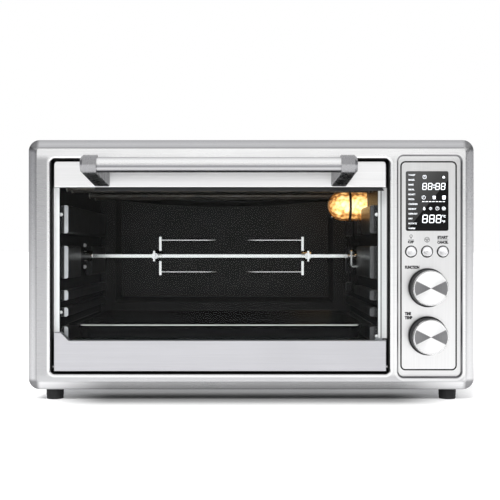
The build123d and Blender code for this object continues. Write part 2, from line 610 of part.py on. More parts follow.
SUPPORT_X = (124.0, 126.0)
with BuildPart() as spit_support:
    with BuildSketch(side_plane(SUPPORT_X[0])):
        rectangle((SPIT_Y - 10, SPIT_Y + 10), (SPIT_Z - 14, SPIT_Z + 8), 3)
        with Locations((SPIT_Y, SPIT_Z)):
            Circle(JOURNAL_RADIUS + 0.1, mode=Mode.SUBTRACT)
        rectangle(widen((SPIT_Y, SPIT_Y), JOURNAL_RADIUS + 0.1), (SPIT_Z, SPIT_Z + 9), mode=Mode.SUBTRACT)
    extrude(amount=SUPPORT_X[1] - SUPPORT_X[0])
    block((SUPPORT_X[1], CAVITY_X[1]), (SPIT_Y - 8, SPIT_Y + 8), (SPIT_Z - 14, SPIT_Z - 12))
    block((CAVITY_X[1] - 1.5, CAVITY_X[1]), (SPIT_Y - 13, SPIT_Y + 13), (SPIT_Z - 24, SPIT_Z - 12))
save(spit_support, "spit_support")

FORK_SPREAD = 24.0
TINE_RADIUS = 1.75
TINE_LENGTH = 56.0
FORKS = ((-118.0, 1), (69.0, -1))  # each hub's centre, and the way its tines point
with BuildPart() as spit_forks:
    for hub, inward in FORKS:
        rod_x((hub - 6, hub + 6), SPIT_Y, SPIT_Z, 8.0)
        bar_x = tuple(sorted((hub + inward * 3.0, hub + inward * 6.0)))
        block(bar_x, (SPIT_Y - 4.5, SPIT_Y + 4.5), widen((SPIT_Z, SPIT_Z), FORK_SPREAD))
        for tine_z in (SPIT_Z - FORK_SPREAD + 4, SPIT_Z + FORK_SPREAD - 4):
            tine_end = hub + inward * (6 + TINE_LENGTH)
            rod_x(tuple(sorted((hub + inward * 6, tine_end))), SPIT_Y, tine_z, TINE_RADIUS)
            with Locations(Plane(origin=(tine_end + inward * 6, SPIT_Y, tine_z), z_dir=(inward, 0, 0))):
                Cone(TINE_RADIUS, 0.3, 12)
        block((hub - 8, hub + 8), widen((SPIT_Y, SPIT_Y), SPIT_SIDE / 2 + 0.05),
              widen((SPIT_Z, SPIT_Z), SPIT_SIDE / 2 + 0.05), Mode.SUBTRACT)
        rod_y(hub - inward * 1.5, (SPIT_Y - 9, SPIT_Y), SPIT_Z, 2.0, Mode.SUBTRACT)
save(spit_forks, "spit_forks")

with BuildPart() as fork_screws:
    for hub, inward in FORKS:
        screw_x = hub - inward * 1.5
        rod_y(screw_x, (SPIT_Y - 13, SPIT_Y - SPIT_SIDE / 2 - 0.05), SPIT_Z, 1.95)
        rod_y(screw_x, (SPIT_Y - 15, SPIT_Y - 12), SPIT_Z, 4.0)
        block((screw_x - 1.1, screw_x + 1.1), (SPIT_Y - 23, SPIT_Y - 15), widen((SPIT_Z, SPIT_Z), 6.5))
save(fork_screws, "fork_screws")

# --- Trays --------------------------------------------------------------------------------------
PAN_LIP = 10.0
with BuildPart() as food_tray:
    with BuildSketch(Plane.XY.offset(PAN_Z[1] - SHEET)):
        rectangle(PAN_X, PAN_Y, PAN_CORNER + 6)
    extrude(amount=SHEET)
    for skin, mode in ((0.0, Mode.ADD), (SHEET, Mode.SUBTRACT)):
        well_x = widen(PAN_X, -PAN_LIP - skin)
        well_y = widen(PAN_Y, -PAN_LIP / 2 - skin)
        top_z = PAN_Z[1] + (1.0 if skin else -SHEET)
        with BuildSketch(Plane.XY.offset(top_z)):
            rectangle(well_x, well_y, PAN_CORNER - skin)
        with BuildSketch(Plane.XY.offset(PAN_Z[0] + skin)):
            rectangle(widen(well_x, -6), widen(well_y, -6), PAN_CORNER - 4)
        loft(mode=mode)
    fillet(food_tray.edges().group_by(Axis.Z)[0], 2.5)
save(food_tray, "food_tray")

with BuildPart() as crumb_tray:
    block(CRUMB_X, CRUMB_Y, CRUMB_Z)
    block(widen(CRUMB_X, -SHEET), widen(CRUMB_Y, -SHEET), (CRUMB_Z[0] + SHEET, CRUMB_Z[1] + 1), Mode.SUBTRACT)
    block((-95.0, 25.0), (CRUMB_Y[0] - 4, CRUMB_Y[0]), (CRUMB_Z[1] - 1.2, CRUMB_Z[1]))
save(crumb_tray, "crumb_tray")

# --- Door ---------------------------------------------------------------------------------------
POCKET_Y = (DOOR_FACE + RAIL_SKIN, DOOR_BACK - RAIL_SKIN)
RAISED_TOP = 73.3
SCREW_Z = 243.0
ARM_BASE_X = {"left": -161.5, "right": 95.0}
with BuildPart() as door_top_rail:
    with BuildSketch(front_plane(DOOR_BACK)):
        rectangle(DOOR_X, (TOP_RAIL_BOTTOM, DOOR_Z[1]))
        fillet(vertices().group_by(Axis.Y)[-1], 4)
    extrude(amount=DOOR_BACK - DOOR_FACE)
    fillet(door_top_rail.faces().sort_by(Axis.Y)[0].edges(), 1.2)
    block(widen(DOOR_X, -RAIL_SKIN), POCKET_Y, (TOP_RAIL_BOTTOM - 1, DOOR_Z[1] - RAIL_SKIN), Mode.SUBTRACT)
    for screw_x in ARM_BASE_X.values():
        rod_y(screw_x, (DOOR_FACE - 1, DOOR_BACK + 1), SCREW_Z, 2.1, Mode.SUBTRACT)
save(door_top_rail, "door_top_rail")

with BuildPart() as door_bottom_rail:
    with BuildSketch(front_plane(DOOR_BACK)):
        with BuildLine():
            Polyline(
                (DOOR_X[0], DOOR_Z[0]),
                (DOOR_X[1], DOOR_Z[0]),
                (DOOR_X[1], BOTTOM_RAIL_TOP),
                (-197.4, BOTTOM_RAIL_TOP),
                (-206.0, RAISED_TOP),
                (DOOR_X[0], RAISED_TOP),
                close=True,
            )
        make_face()
    extrude(amount=DOOR_BACK - DOOR_FACE)
    fillet(door_bottom_rail.faces().sort_by(Axis.Y)[0].edges(), 1.0)
    block(widen(DOOR_X, -RAIL_SKIN), POCKET_Y, (DOOR_Z[0] + RAIL_SKIN, RAISED_TOP + 1), Mode.SUBTRACT)
    for wall in (widen((DOOR_X[0], DOOR_X[0]), 3), widen((DOOR_X[1], DOOR_X[1]), 3)):
        rod_x(wall, HINGE_Y, HINGE_Z, PIN_RADIUS + 0.01, Mode.SUBTRACT)
save(door_bottom_rail, "door_bottom_rail")

GLASS_X = widen(DOOR_X, -1.8)
GLASS_Z = (44.0, 236.0)
with BuildPart() as door_glass:
    block(GLASS_X, GLASS_Y, GLASS_Z)
    chamfer(door_glass.edges().filter_by(Axis.Z), 0.5)
save(door_glass, "door_glass")

with BuildPart() as glass_gaskets:
    for edge_z, outer_z in ((GLASS_Z[1] - 5.0, GLASS_Z[1] + 1.5), (GLASS_Z[0] + 20.0, GLASS_Z[0] - 1.5)):
        block(GLASS_X, POCKET_Y, tuple(sorted((edge_z, outer_z))))
    block(GLASS_X, GLASS_Y, GLASS_Z, Mode.SUBTRACT)
save(glass_gaskets, "glass_gaskets")

HANDLE_Y = -OVEN_DEPTH / 2 + CAP_RADIUS
TUBE_X = (HANDLE_X[0] + CAP_LENGTH - 8, HANDLE_X[1] - CAP_LENGTH + 8)
with BuildPart() as handle_tube:
    rod_x(TUBE_X, HANDLE_Y, HANDLE_Z, TUBE_RADIUS)
    rod_x(widen(TUBE_X, 1), HANDLE_Y, HANDLE_Z, TUBE_RADIUS - 1.2, Mode.SUBTRACT)
save(handle_tube, "handle_tube")

for side, cap_x in (
    ("left", (HANDLE_X[0], HANDLE_X[0] + CAP_LENGTH)),
    ("right", (HANDLE_X[1] - CAP_LENGTH, HANDLE_X[1])),
):
    outer, socket = (cap_x[0], cap_x[1]) if side == "left" else (cap_x[1], cap_x[0])
    away = 1 if socket > outer else -1
    with BuildPart() as bracket:
        rod_x(cap_x, HANDLE_Y, HANDLE_Z, CAP_RADIUS)
        chamfer(bracket.edges().filter_by(GeomType.CIRCLE).group_by(Axis.X)[0 if away > 0 else -1], 3.0)
        with BuildSketch(front_plane(HANDLE_Y)):
            rectangle((cap_x[0] + 1, cap_x[1] - 1), (HANDLE_Z - 9.5, HANDLE_Z + 3.5), 2)
        with BuildSketch(front_plane(DOOR_FACE)):
            rectangle(widen((ARM_BASE_X[side], ARM_BASE_X[side]), 8.5), (TOP_RAIL_BOTTOM + 0.8, 247.5), 2)
        loft()
        rod_x(tuple(sorted((socket - away * 8.2, socket + away))), HANDLE_Y, HANDLE_Z,
              TUBE_RADIUS + 0.02, Mode.SUBTRACT)
        rod_y(ARM_BASE_X[side], (DOOR_FACE - 14, DOOR_FACE + 1), SCREW_Z, 2.05, Mode.SUBTRACT)
    save(bracket, f"handle_bracket_{side}")

with BuildPart() as handle_screws:
    for screw_x in ARM_BASE_X.values():
        rod_y(screw_x, (DOOR_FACE - 13, DOOR_BACK), SCREW_Z, 2.0)
        rod_y(screw_x, (DOOR_BACK, DOOR_BACK + 1.6), SCREW_Z, 3.8)
save(handle_screws, "handle_screws")

# --- Door hinge ---------------------------------------------------------------------------------
BRACKET_Z = (24.0, 52.0)
with BuildPart() as hinge_pins:
    for pin_x, head_x in (((-222.9, -210.0), (-212.2, -210.0)), ((142.5, 154.0), (142.5, 144.7))):
        rod_x(pin_x, HINGE_Y, HINGE_Z, PIN_RADIUS)
        rod_x(head_x, HINGE_Y, HINGE_Z, PIN_RADIUS + 0.9)
save(hinge_pins, "hinge_pins")

with BuildPart() as hinge_brackets:
    for ear_x, foot_x in (((-223.0, -220.0), (-229.0, -220.0)), ((151.5, 154.0), (151.5, 155.6))):
        block(ear_x, (HINGE_Y - 3.6, FRAME_BACK), BRACKET_Z)
        block(foot_x, (FRAME_BACK - 1.5, FRAME_BACK), BRACKET_Z)
        rod_x(widen(ear_x, 1), HINGE_Y, HINGE_Z, PIN_RADIUS + RUNNING_GAP, Mode.SUBTRACT)
save(hinge_brackets, "hinge_brackets")

# Each arm is an arc about the hinge, so it slides through one small slot in the face plate.
ARM_TOP = degrees(acos((DOOR_BACK - HINGE_Y) / (ARM_RADIUS + ARM_HALF)))
with BuildPart() as hinge_arms:
    for arm_x, flange_x in zip(ARM_X, ((-214.0, -206.0), (135.0, 143.0))):
        with BuildSketch(side_plane(arm_x)):
            with BuildLine():
                inner_arc = CenterArc((HINGE_Y, HINGE_Z), ARM_RADIUS - ARM_HALF, ARM_TAIL, ARM_TOP - ARM_TAIL)
                outer_arc = CenterArc((HINGE_Y, HINGE_Z), ARM_RADIUS + ARM_HALF, ARM_TAIL, ARM_TOP - ARM_TAIL)
                Line(inner_arc @ 0, outer_arc @ 0)
                Line(inner_arc @ 1, outer_arc @ 1)
            make_face()
            rectangle((DOOR_BACK - 20, DOOR_BACK), (HINGE_Z, HINGE_Z + 60), mode=Mode.SUBTRACT)
            with Locations((TAIL_Y - 1.5, TAIL_Z + 1)):
                Circle(1.0, mode=Mode.SUBTRACT)
        extrude(amount=ARM_THICK)
        block(flange_x, (DOOR_BACK, DOOR_BACK + 1.2), (HINGE_Z + 16, HINGE_Z + 30))
save(hinge_arms, "hinge_arms")

SPRING_Y = (TAIL_Y + 3.5, ANCHOR_Y)
with BuildPart() as door_springs:
    for arm_x in ARM_X:
        spring_x = arm_x + ARM_THICK / 2
        rod_y(spring_x, (SPRING_Y[0] + 8, SPRING_Y[1] - 8), TAIL_Z, 2.6)
        rod_y(spring_x, SPRING_Y, TAIL_Z, 0.6)
save(door_springs, "door_springs")

# --- Control panel ------------------------------------------------------------------------------
with BuildPart() as control_fascia:
    with BuildSketch(front_plane(FASCIA_BACK)):
        rectangle(FASCIA_X, FASCIA_Z, 4)
        rectangle(widen(WINDOW_X, 0.15), widen(WINDOW_Z, 0.15), 2.1, Mode.SUBTRACT)
        with Locations(*[(x, BUTTON_Z) for x in BUTTON_X.values()]):
            Circle(BUTTON_RADIUS + 0.8, mode=Mode.SUBTRACT)
        with Locations(*[(KNOB_X, z) for z in KNOB_Z.values()]):
            Circle(5.0, mode=Mode.SUBTRACT)
    extrude(amount=FASCIA_BACK - FASCIA_FACE)
save(control_fascia, "control_fascia")

with BuildPart() as display_window:
    with BuildSketch(front_plane(FASCIA_BACK)):
        rectangle(WINDOW_X, WINDOW_Z, 2)
    extrude(amount=FASCIA_BACK - FASCIA_FACE + 0.3)
save(display_window, "display_window")

with BuildPart() as control_carrier:
    with BuildSketch(front_plane(CARRIER_BACK)):
        rectangle((159.0, 224.0), (30.0, 261.0), 4)
        rectangle(widen(WINDOW_X, -2), widen(WINDOW_Z, -2), mode=Mode.SUBTRACT)
        with Locations(*[(x, BUTTON_Z) for x in BUTTON_X.values()]):
            Circle(BUTTON_RADIUS + 0.3, mode=Mode.SUBTRACT)
        with Locations(*[(KNOB_X, z) for z in KNOB_Z.values()]):
            Circle(4.7, mode=Mode.SUBTRACT)
    extrude(amount=CARRIER_BACK - FASCIA_BACK)
save(control_carrier, "control_carrier")

with BuildPart() as display_module:
    block(widen(WINDOW_X, -2.3), (FASCIA_BACK, BOARD_Y[0]), widen(WINDOW_Z, -2.3))
save(display_module, "display_module")

with BuildPart() as control_board:
    block((162.0, 221.0), BOARD_Y, (45.0, 255.0))
    for button_x in BUTTON_X.values():
        block((button_x - 3, button_x + 3), (BOARD_Y[0] - 3.5, BOARD_Y[0]), (BUTTON_Z - 3, BUTTON_Z + 3))
        rod_y(button_x, (BOARD_Y[0] - 5, BOARD_Y[0] - 3.5), BUTTON_Z, 1.7)
save(control_board, "control_board")

BUTTON_FACE = FASCIA_FACE - 2.2
for node, button_x in BUTTON_X.items():
    with BuildPart() as button:
        rod_y(button_x, (BUTTON_FACE, CARRIER_BACK + 0.3), BUTTON_Z, BUTTON_RADIUS)
        fillet(button.faces().sort_by(Axis.Y)[0].edges(), 0.9)
        with Locations((button_x, BUTTON_FACE - 22.6, BUTTON_Z)):
            Sphere(23.0, mode=Mode.SUBTRACT)
        rod_y(button_x, (CARRIER_BACK + 0.3, CARRIER_BACK + 1.3), BUTTON_Z, BUTTON_RADIUS + 1.6)
        rod_y(button_x, (CARRIER_BACK + 1.3, BOARD_Y[0] - 5 - BUTTON_TRAVEL - 0.15), BUTTON_Z, 2.0)
    save(button, node)

KNOB_BACK = FASCIA_FACE - 0.8
KNOB_FACE = KNOB_BACK - KNOB_DEPTH
with BuildPart() as knob_encoders:
    for knob_z in KNOB_Z.values():
        rod_y(KNOB_X, (FASCIA_FACE + 0.4, CARRIER_BACK), knob_z, 4.6)
        block((KNOB_X - 6, KNOB_X + 6), (CARRIER_BACK, BOARD_Y[0]), (knob_z - 6, knob_z + 6))
        rod_y(KNOB_X, (FASCIA_FACE, CARRIER_BACK + 5.3), knob_z, SHAFT_RADIUS + RUNNING_GAP, Mode.SUBTRACT)
save(knob_encoders, "knob_encoders")

for name, knob_z in KNOB_Z.items():
    with BuildPart() as knob:
        with BuildSketch(Plane.XY.offset(knob_z)):
            with BuildLine():
                Polyline(
                    (KNOB_X, KNOB_FACE + 0.7),
                    (KNOB_X + KNOB_RADIUS - 4.0, KNOB_FACE + 0.4),
                    (KNOB_X + KNOB_RADIUS - 3.4, KNOB_FACE),
                    (KNOB_X + KNOB_RADIUS - 2.6, KNOB_FACE),
                    (KNOB_X + KNOB_RADIUS - 2.0, KNOB_FACE + 0.8),
                    (KNOB_X + KNOB_RADIUS - 1.0, KNOB_BACK - 3.6),
                    (KNOB_X + KNOB_RADIUS, KNOB_BACK - 2.6),
                    (KNOB_X + KNOB_RADIUS, KNOB_BACK),
                    (KNOB_X, KNOB_BACK),
                    close=True,
                )
            make_face()
        revolve(axis=Axis((KNOB_X, 0, knob_z), (0, 1, 0)))
        rod_y(KNOB_X, (KNOB_FACE + 5, KNOB_BACK + 1), knob_z, SHAFT_RADIUS + 0.03, Mode.SUBTRACT)
    save(knob, f"{name}_knob")
    with BuildPart() as shaft:
        rod_y(KNOB_X, (KNOB_FACE + 5.2, CARRIER_BACK + 5), knob_z, SHAFT_RADIUS)
    save(shaft, f"{name}_shaft")
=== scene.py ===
"""Looks of a countertop toaster oven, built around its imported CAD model.

Every size is in metres, in the row frame: +X to the oven's right, +Y to its back, +Z up, with the origin
on the counter under the middle of the oven. CAD pieces keep their shape and get a finish here. Pieces that
need finer shapes are built here and ride on the same bodies.
"""

import logging
import math
from dataclasses import dataclass
from enum import Enum
from typing import Any, Callable, Iterable, Sequence

import bmesh
import bpy
from mathutils import Matrix, Vector

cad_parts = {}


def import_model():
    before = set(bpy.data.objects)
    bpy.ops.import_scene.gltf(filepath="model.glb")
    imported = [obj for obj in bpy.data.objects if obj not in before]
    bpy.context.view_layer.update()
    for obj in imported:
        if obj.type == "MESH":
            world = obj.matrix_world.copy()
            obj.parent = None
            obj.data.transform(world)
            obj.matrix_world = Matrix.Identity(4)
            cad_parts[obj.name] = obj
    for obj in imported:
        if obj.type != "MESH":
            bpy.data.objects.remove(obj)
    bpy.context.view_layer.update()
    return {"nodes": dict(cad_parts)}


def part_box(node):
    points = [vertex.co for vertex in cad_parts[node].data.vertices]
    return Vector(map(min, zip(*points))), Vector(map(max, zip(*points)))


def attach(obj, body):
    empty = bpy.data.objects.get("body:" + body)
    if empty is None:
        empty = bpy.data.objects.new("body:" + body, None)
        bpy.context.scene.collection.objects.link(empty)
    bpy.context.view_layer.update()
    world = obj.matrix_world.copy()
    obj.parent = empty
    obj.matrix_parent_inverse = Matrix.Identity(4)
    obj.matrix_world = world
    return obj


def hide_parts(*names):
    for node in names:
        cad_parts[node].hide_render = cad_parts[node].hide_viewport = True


logging.basicConfig(level=logging.INFO, format="%(name)s: %(message)s")
log = logging.getLogger("toaster_oven")

MM = 0.001
CAPITAL_HEIGHT = 0.72  # of a capital letter, as a share of its font's size
Colour = tuple[float, float, float]
Spot = tuple[float, float, float]  # a rivet's Y, its Z and its radius
Point2 = tuple[float, float]


# --- Shader building ----------------------------------------------------------------------------
class Signal:
    """One output socket of a shader, with the operators of ordinary arithmetic."""

    def __init__(self, tree: "ShaderTree", socket: bpy.types.NodeSocket) -> None:
        """Wrap a socket.

        Args:
            tree: The shader that the socket belongs to.
            socket: The output socket.
        """
        self.tree = tree
        self.socket = socket

    def _math(self, operation: str, *values: Any) -> "Signal":
        """Add a Math node.

        Args:
            operation: The Math node's operation.
            values: Its inputs, in order; each is a number or a signal.

        Returns:
            The node's result.
        """
        return self.tree.node("ShaderNodeMath", {"operation": operation}, *values)

    def __add__(self, other: Any) -> "Signal":
        """Add a number or a signal."""
        return self._math("ADD", self, other)

    __radd__ = __add__

    def __sub__(self, other: Any) -> "Signal":
        """Take away a number or a signal."""
        return self._math("SUBTRACT", self, other)

    def __rsub__(self, other: Any) -> "Signal":
        """Take this signal away from a number."""
        return self._math("SUBTRACT", other, self)

    def __mul__(self, other: Any) -> "Signal":
        """Multiply by a number or a signal."""
        return self._math("MULTIPLY", self, other)

    __rmul__ = __mul__

    def __truediv__(self, other: Any) -> "Signal":
        """Divide by a number or a signal."""
        return self._math("DIVIDE", self, other)

    def __pow__(self, other: Any) -> "Signal":
        """Raise to a power."""
        return self._math("POWER", self, other)

    def __abs__(self) -> "Signal":
        """Give the size without the sign."""
        return self._math("ABSOLUTE", self)

    def at_least(self, other: Any) -> "Signal":
        """Give the larger of this signal and another value."""
        return self._math("MAXIMUM", self, other)

    def at_most(self, other: Any) -> "Signal":
        """Give the smaller of this signal and another value."""
        return self._math("MINIMUM", self, other)

    def clamped(self) -> "Signal":
        """Hold the signal between 0 and 1."""
        return self.at_least(0.0).at_most(1.0)

    def step(self, low: float, high: float) -> "Signal":
        """Turn the signal into a soft step.

        Args:
            low: The value where the step starts.
            high: The value where the step ends.

        Returns:
            0 below low, 1 above high, and a smooth rise between them.
        """
        ends = {"From Min": low, "From Max": high}
        return self.tree.node("ShaderNodeMapRange", {"interpolation_type": "SMOOTHSTEP"}, Value=self, **ends)


class ShaderTree:
    """The node tree of one material or world."""

    def __init__(self, owner: bpy.types.Material | bpy.types.World) -> None:
        """Empty the owner's node tree.

        Args:
            owner: The material or world to build.
        """
        owner.use_nodes = True
        self.nodes = owner.node_tree.nodes
        self.links = owner.node_tree.links
        self.nodes.clear()

    def node(self, kind: str, settings: dict[str, Any] | None = None, *values: Any, out: str | int = 0,
             **sockets: Any) -> Signal:
        """Add a node.

        Args:
            kind: The node's type.
            settings: Properties of the node, set before its sockets; "stops" gives a ramp's stops.
            values: Socket values or signals by position.
            out: Which output the result is read from.
            sockets: Socket values or signals by name.

        Returns:
            The chosen output.
        """
        node = self.nodes.new(kind)
        for name, value in (settings or {}).items():
            if name == "stops":
                self._set_stops(node, value)
            else:
                setattr(node, name, value)
        for key, value in [*enumerate(values), *sockets.items()]:
            socket = node.inputs[key]
            if isinstance(value, Signal):
                self.links.new(value.socket, socket)
            else:
                socket.default_value = (*value, 1.0) if socket.type == "RGBA" and len(value) == 3 else value
        return Signal(self, node.outputs[out] if node.outputs else node.inputs[0])

    @staticmethod
    def _set_stops(node: bpy.types.Node, stops: Sequence[tuple[float, Colour]]) -> None:
        """Give a ramp its stops.

        Args:
            node: A Color Ramp node.
            stops: Each stop's position and colour.
        """
        elements = node.color_ramp.elements
        while len(elements) < len(stops):
            elements.new(1.0)
        for element, (position, colour) in zip(elements, stops):
            element.position = position
            element.color = (*colour, 1.0)

    def place(self) -> Signal:
        """Give the position on the piece, in metres."""
        return self.node("ShaderNodeTexCoord", out="Object")

    def axis(self, vector: Signal, name: str) -> Signal:
        """Give one component, X, Y or Z, of a vector."""
        return self.node("ShaderNodeSeparateXYZ", None, vector, out=name)

    def scaled(self, vector: Signal, scale: Colour) -> Signal:
        """Multiply a vector, component by component."""
        return self.node("ShaderNodeVectorMath", {"operation": "MULTIPLY"}, vector, scale)

    def noise(self, vector: Signal, scale: float, detail: float = 2.0, roughness: float = 0.5) -> Signal:
        """Give fractal noise between 0 and 1.

        Args:
            vector: Where it is sampled.
            scale: Bumps per metre.
            detail: How many finer layers are added.
            roughness: How strong the finer layers are.

        Returns:
            The noise.
        """
        return self.node("ShaderNodeTexNoise", None, Vector=vector, Scale=scale, Detail=detail,
                         Roughness=roughness)

    def mix(self, factor: Any, first: Any, second: Any) -> Signal:
        """Blend two colours.

        Args:
            factor: 0 for the first colour, 1 for the second.
            first: A colour or a signal.
            second: A colour or a signal.

        Returns:
            The blended colour.
        """
        node = self.nodes.new("ShaderNodeMix")
        node.data_type = "RGBA"
        for socket, value in zip((node.inputs[0], node.inputs[6], node.inputs[7]), (factor, first, second)):
            if isinstance(value, Signal):
                self.links.new(value.socket, socket)
            else:
                socket.default_value = (*value, 1.0) if isinstance(value, tuple) else value
        return Signal(self, node.outputs[2])

    def outline_distance(self, low: Point2, high: Point2, radius: float) -> Signal:
        """Give the distance outside a rounded rectangle that faces the user, in metres.

        Args:
            low: The rectangle's lower left corner, as X and Z.
            high: Its upper right corner.
            radius: Its corner radius.

        Returns:
            The distance, negative inside.
        """
        place = self.place()
        reach = [abs(self.axis(place, name) - (high[k] + low[k]) / 2) - ((high[k] - low[k]) / 2 - radius)
                 for k, name in enumerate("XZ")]
        corner = (reach[0].at_least(0.0) ** 2.0 + reach[1].at_least(0.0) ** 2.0) ** 0.5
        return corner + reach[0].at_least(reach[1]).at_most(0.0) - radius

    def bump(self, height: Signal, strength: float, distance: float) -> Signal:
        """Turn a height into a normal.

        Args:
            height: The relief, between 0 and 1.
            strength: How strongly it shows.
            distance: How tall the relief is, in metres.

        Returns:
            The normal.
        """
        return self.node("ShaderNodeBump", None, Strength=strength, Distance=distance, Height=height)

    def surface(self, shader: Signal) -> None:
        """Use a shader as the surface."""
        self.node("ShaderNodeOutputMaterial", None, Surface=shader)


def principled(tree: ShaderTree, **sockets: Any) -> Signal:
    """Add a Principled shader.

    Args:
        tree: The material's tree.
        sockets: Its sockets, with underscores in place of spaces.

    Returns:
        The shader.
    """
    return tree.node("ShaderNodeBsdfPrincipled", None,
                     **{name.replace("_", " "): value for name, value in sockets.items()})


def new_tree(name: str) -> tuple[bpy.types.Material, ShaderTree]:
    """Make a material and its empty tree."""
    material = bpy.data.materials.new(name)
    return material, ShaderTree(material)


class Grain(Enum):
    """The way that a metal was brushed; each value is the stretch of the marks along X, Y and Z."""

    ACROSS = (0.012, 1.0, 1.0)
    UPRIGHT = (1.0, 1.0, 0.012)
    DEEP = (1.0, 0.012, 1.0)


# --- Finishes -----------------------------------------------------------------------------------
@dataclass(frozen=True)
class BrushedMetal:
    """Sheet or bar with fine parallel brush marks."""

    name: str
    colour: Colour
    grain: Grain = Grain.ACROSS
    roughness: float = 0.3
    contrast: float = 0.16
    fine: float = 1500.0
    broad: float = 260.0
    anisotropy: float = 0.4
    relief: float = 0.02

    def make(self) -> bpy.types.Material:
        """Build the material."""
        material, tree = new_tree(self.name)
        along = tree.scaled(tree.place(), self.grain.value)
        hairs = tree.noise(along, self.fine, 3.0, 0.6)
        bands = tree.noise(along, self.broad, 2.0, 0.55)
        marks = hairs * 0.55 + bands * 0.45
        clouds = tree.noise(tree.place(), 9.0, 2.0)
        dark = tuple(c * (1.0 - self.contrast) for c in self.colour)
        light = tuple(min(1.0, c * (1.0 + self.contrast * 0.6)) for c in self.colour)
        tone = tree.mix((marks - 0.25) * 2.0, dark, light)
        smudged = tree.mix(clouds.step(0.45, 0.75) * 0.25, tone, dark)
        tree.surface(principled(
            tree, Base_Color=smudged, Metallic=1.0,
            Roughness=(self.roughness + (marks - 0.5) * 0.22 + (clouds - 0.5) * 0.08).clamped(),
            Anisotropic=self.anisotropy,
            Normal=tree.bump(marks, 0.35, self.relief * MM),
        ))
        return material


@dataclass(frozen=True)
class PressedFrame:
    """Pressed stainless surround, with painted reflections on its bevels, a painted highlight on its top face
    and right bevel, painted shade on its left face and round the pocket, and painted highlights on its lips.
    """

    name: str = "frame_steel"
    opening: tuple[Point2, Point2] = ((-0.217, 0.0285), (0.1496, 0.2614))
    pocket: tuple[Point2, Point2] = ((0.1588, 0.0257), (0.2266, 0.2642))
    depth_range: float = 24.0 * MM

    def make(self) -> bpy.types.Material:
        """Build the material."""
        material, tree = new_tree(self.name)
        low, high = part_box("front_frame")
        depth = tree.outline_distance((low.x, low.z), (high.x, high.z), 12.0 * MM) * (-1.0 / self.depth_range)
        # Tones by depth in from the outer edge: painted reflections on the bevel, with a painted dark line at
        # its fold.
        rim = tree.node("ShaderNodeValToRGB", {"stops": (
            (0.00, (0.42, 0.42, 0.43)), (0.20, (0.60, 0.60, 0.61)), (0.33, (0.50, 0.50, 0.51)),
            (0.385, (0.27, 0.27, 0.28)), (0.43, (0.80, 0.80, 0.80)), (0.60, (0.70, 0.70, 0.70)),
            (1.00, (0.76, 0.76, 0.76)))}, depth)
        place = tree.place()
        across, up = tree.axis(place, "X"), tree.axis(place, "Z")
        face = depth.step(0.39, 0.43)
        # Painted highlight on the top of the face.
        top = up.step(258 * MM, 266 * MM)
        rim = tree.mix(face * top * 0.9, rim, (0.97, 0.97, 0.97))
        # Painted shade on the left of the face.
        left = 1.0 - across.step(-222 * MM, -217 * MM)
        rim = tree.mix(face * left * (1.0 - top), rim, (0.47, 0.47, 0.48))
        # Painted highlight on the right bevel.
        rim = tree.mix(across.step(229 * MM, 231 * MM) * (1.0 - face) * 0.4, rim, (0.95, 0.95, 0.95))
        # Painted reflection of the floor on the bottom bevel, by height.
        foot = tree.node("ShaderNodeValToRGB", {"stops": (
            (0.0, (0.30, 0.30, 0.31)), (0.12, (0.62, 0.62, 0.63)), (0.5, (0.80, 0.80, 0.81)),
            (0.62, (0.56, 0.56, 0.57)), (1.0, (0.52, 0.52, 0.53)))}, (up - low.z) / (15.0 * MM))
        rim = tree.mix((1.0 - up.step(25 * MM, 29 * MM)) * across.step(-233 * MM, -226 * MM)
                       * (1.0 - across.step(226 * MM, 233 * MM)), rim, foot)
        gap = tree.outline_distance(*self.opening, 5.0 * MM)
        pocket = tree.outline_distance(*self.pocket, 6.0 * MM)
        # Painted highlight on the lip round the opening, painted shade in the groove round the pocket,
        # painted highlight on its ridge.
        painted_lip_highlight = gap.step(0.2 * MM, 1.2 * MM) * (1.0 - gap.step(2.2 * MM, 4.0 * MM))
        painted_groove_shade = 1.0 - (abs(pocket - 0.6 * MM)).step(0.5 * MM, 1.3 * MM)
        painted_ridge_highlight = 1.0 - (abs(pocket - 3.2 * MM)).step(0.6 * MM, 1.6 * MM)
        marks = tree.noise(tree.scaled(tree.place(), Grain.ACROSS.value), 1500.0, 3.0, 0.6)
        clouds = tree.noise(tree.scaled(tree.place(), (1.0, 1.0, 0.25)), 14.0, 2.0)
        middle = (low.z + high.z) / 2
        # Painted dark reflections on the bevel's corners.
        corner = (abs(across).step(high.x - 13 * MM, high.x - 8 * MM)
                  * abs(up - middle).step(high.z - middle - 13 * MM, high.z - middle - 8 * MM))
        rim = tree.mix(corner * (1.0 - depth.step(0.30, 0.40)) * 0.75, rim, (0.06, 0.06, 0.065))
        tone = tree.mix(painted_ridge_highlight * 0.5, rim, (0.92, 0.92, 0.92))
        tone = tree.mix(painted_lip_highlight * 0.85, tone, (0.98, 0.98, 0.98))
        tone = tree.mix(painted_groove_shade * 0.85, tone, (0.10, 0.10, 0.11))
        brush_wear_and_rim_highlight = (marks - 0.3).clamped() * 0.35 + clouds.step(0.4, 0.8) * 0.12
        tone = tree.mix(brush_wear_and_rim_highlight, tone, (0.42, 0.42, 0.43))
        tree.surface(principled(
            tree, Base_Color=tone, Metallic=1.0, Roughness=(marks * 0.12 + 0.2 + clouds * 0.06),
            Anisotropic=0.2, Normal=tree.bump(marks, 0.35, 0.006 * MM),
        ))
        return material


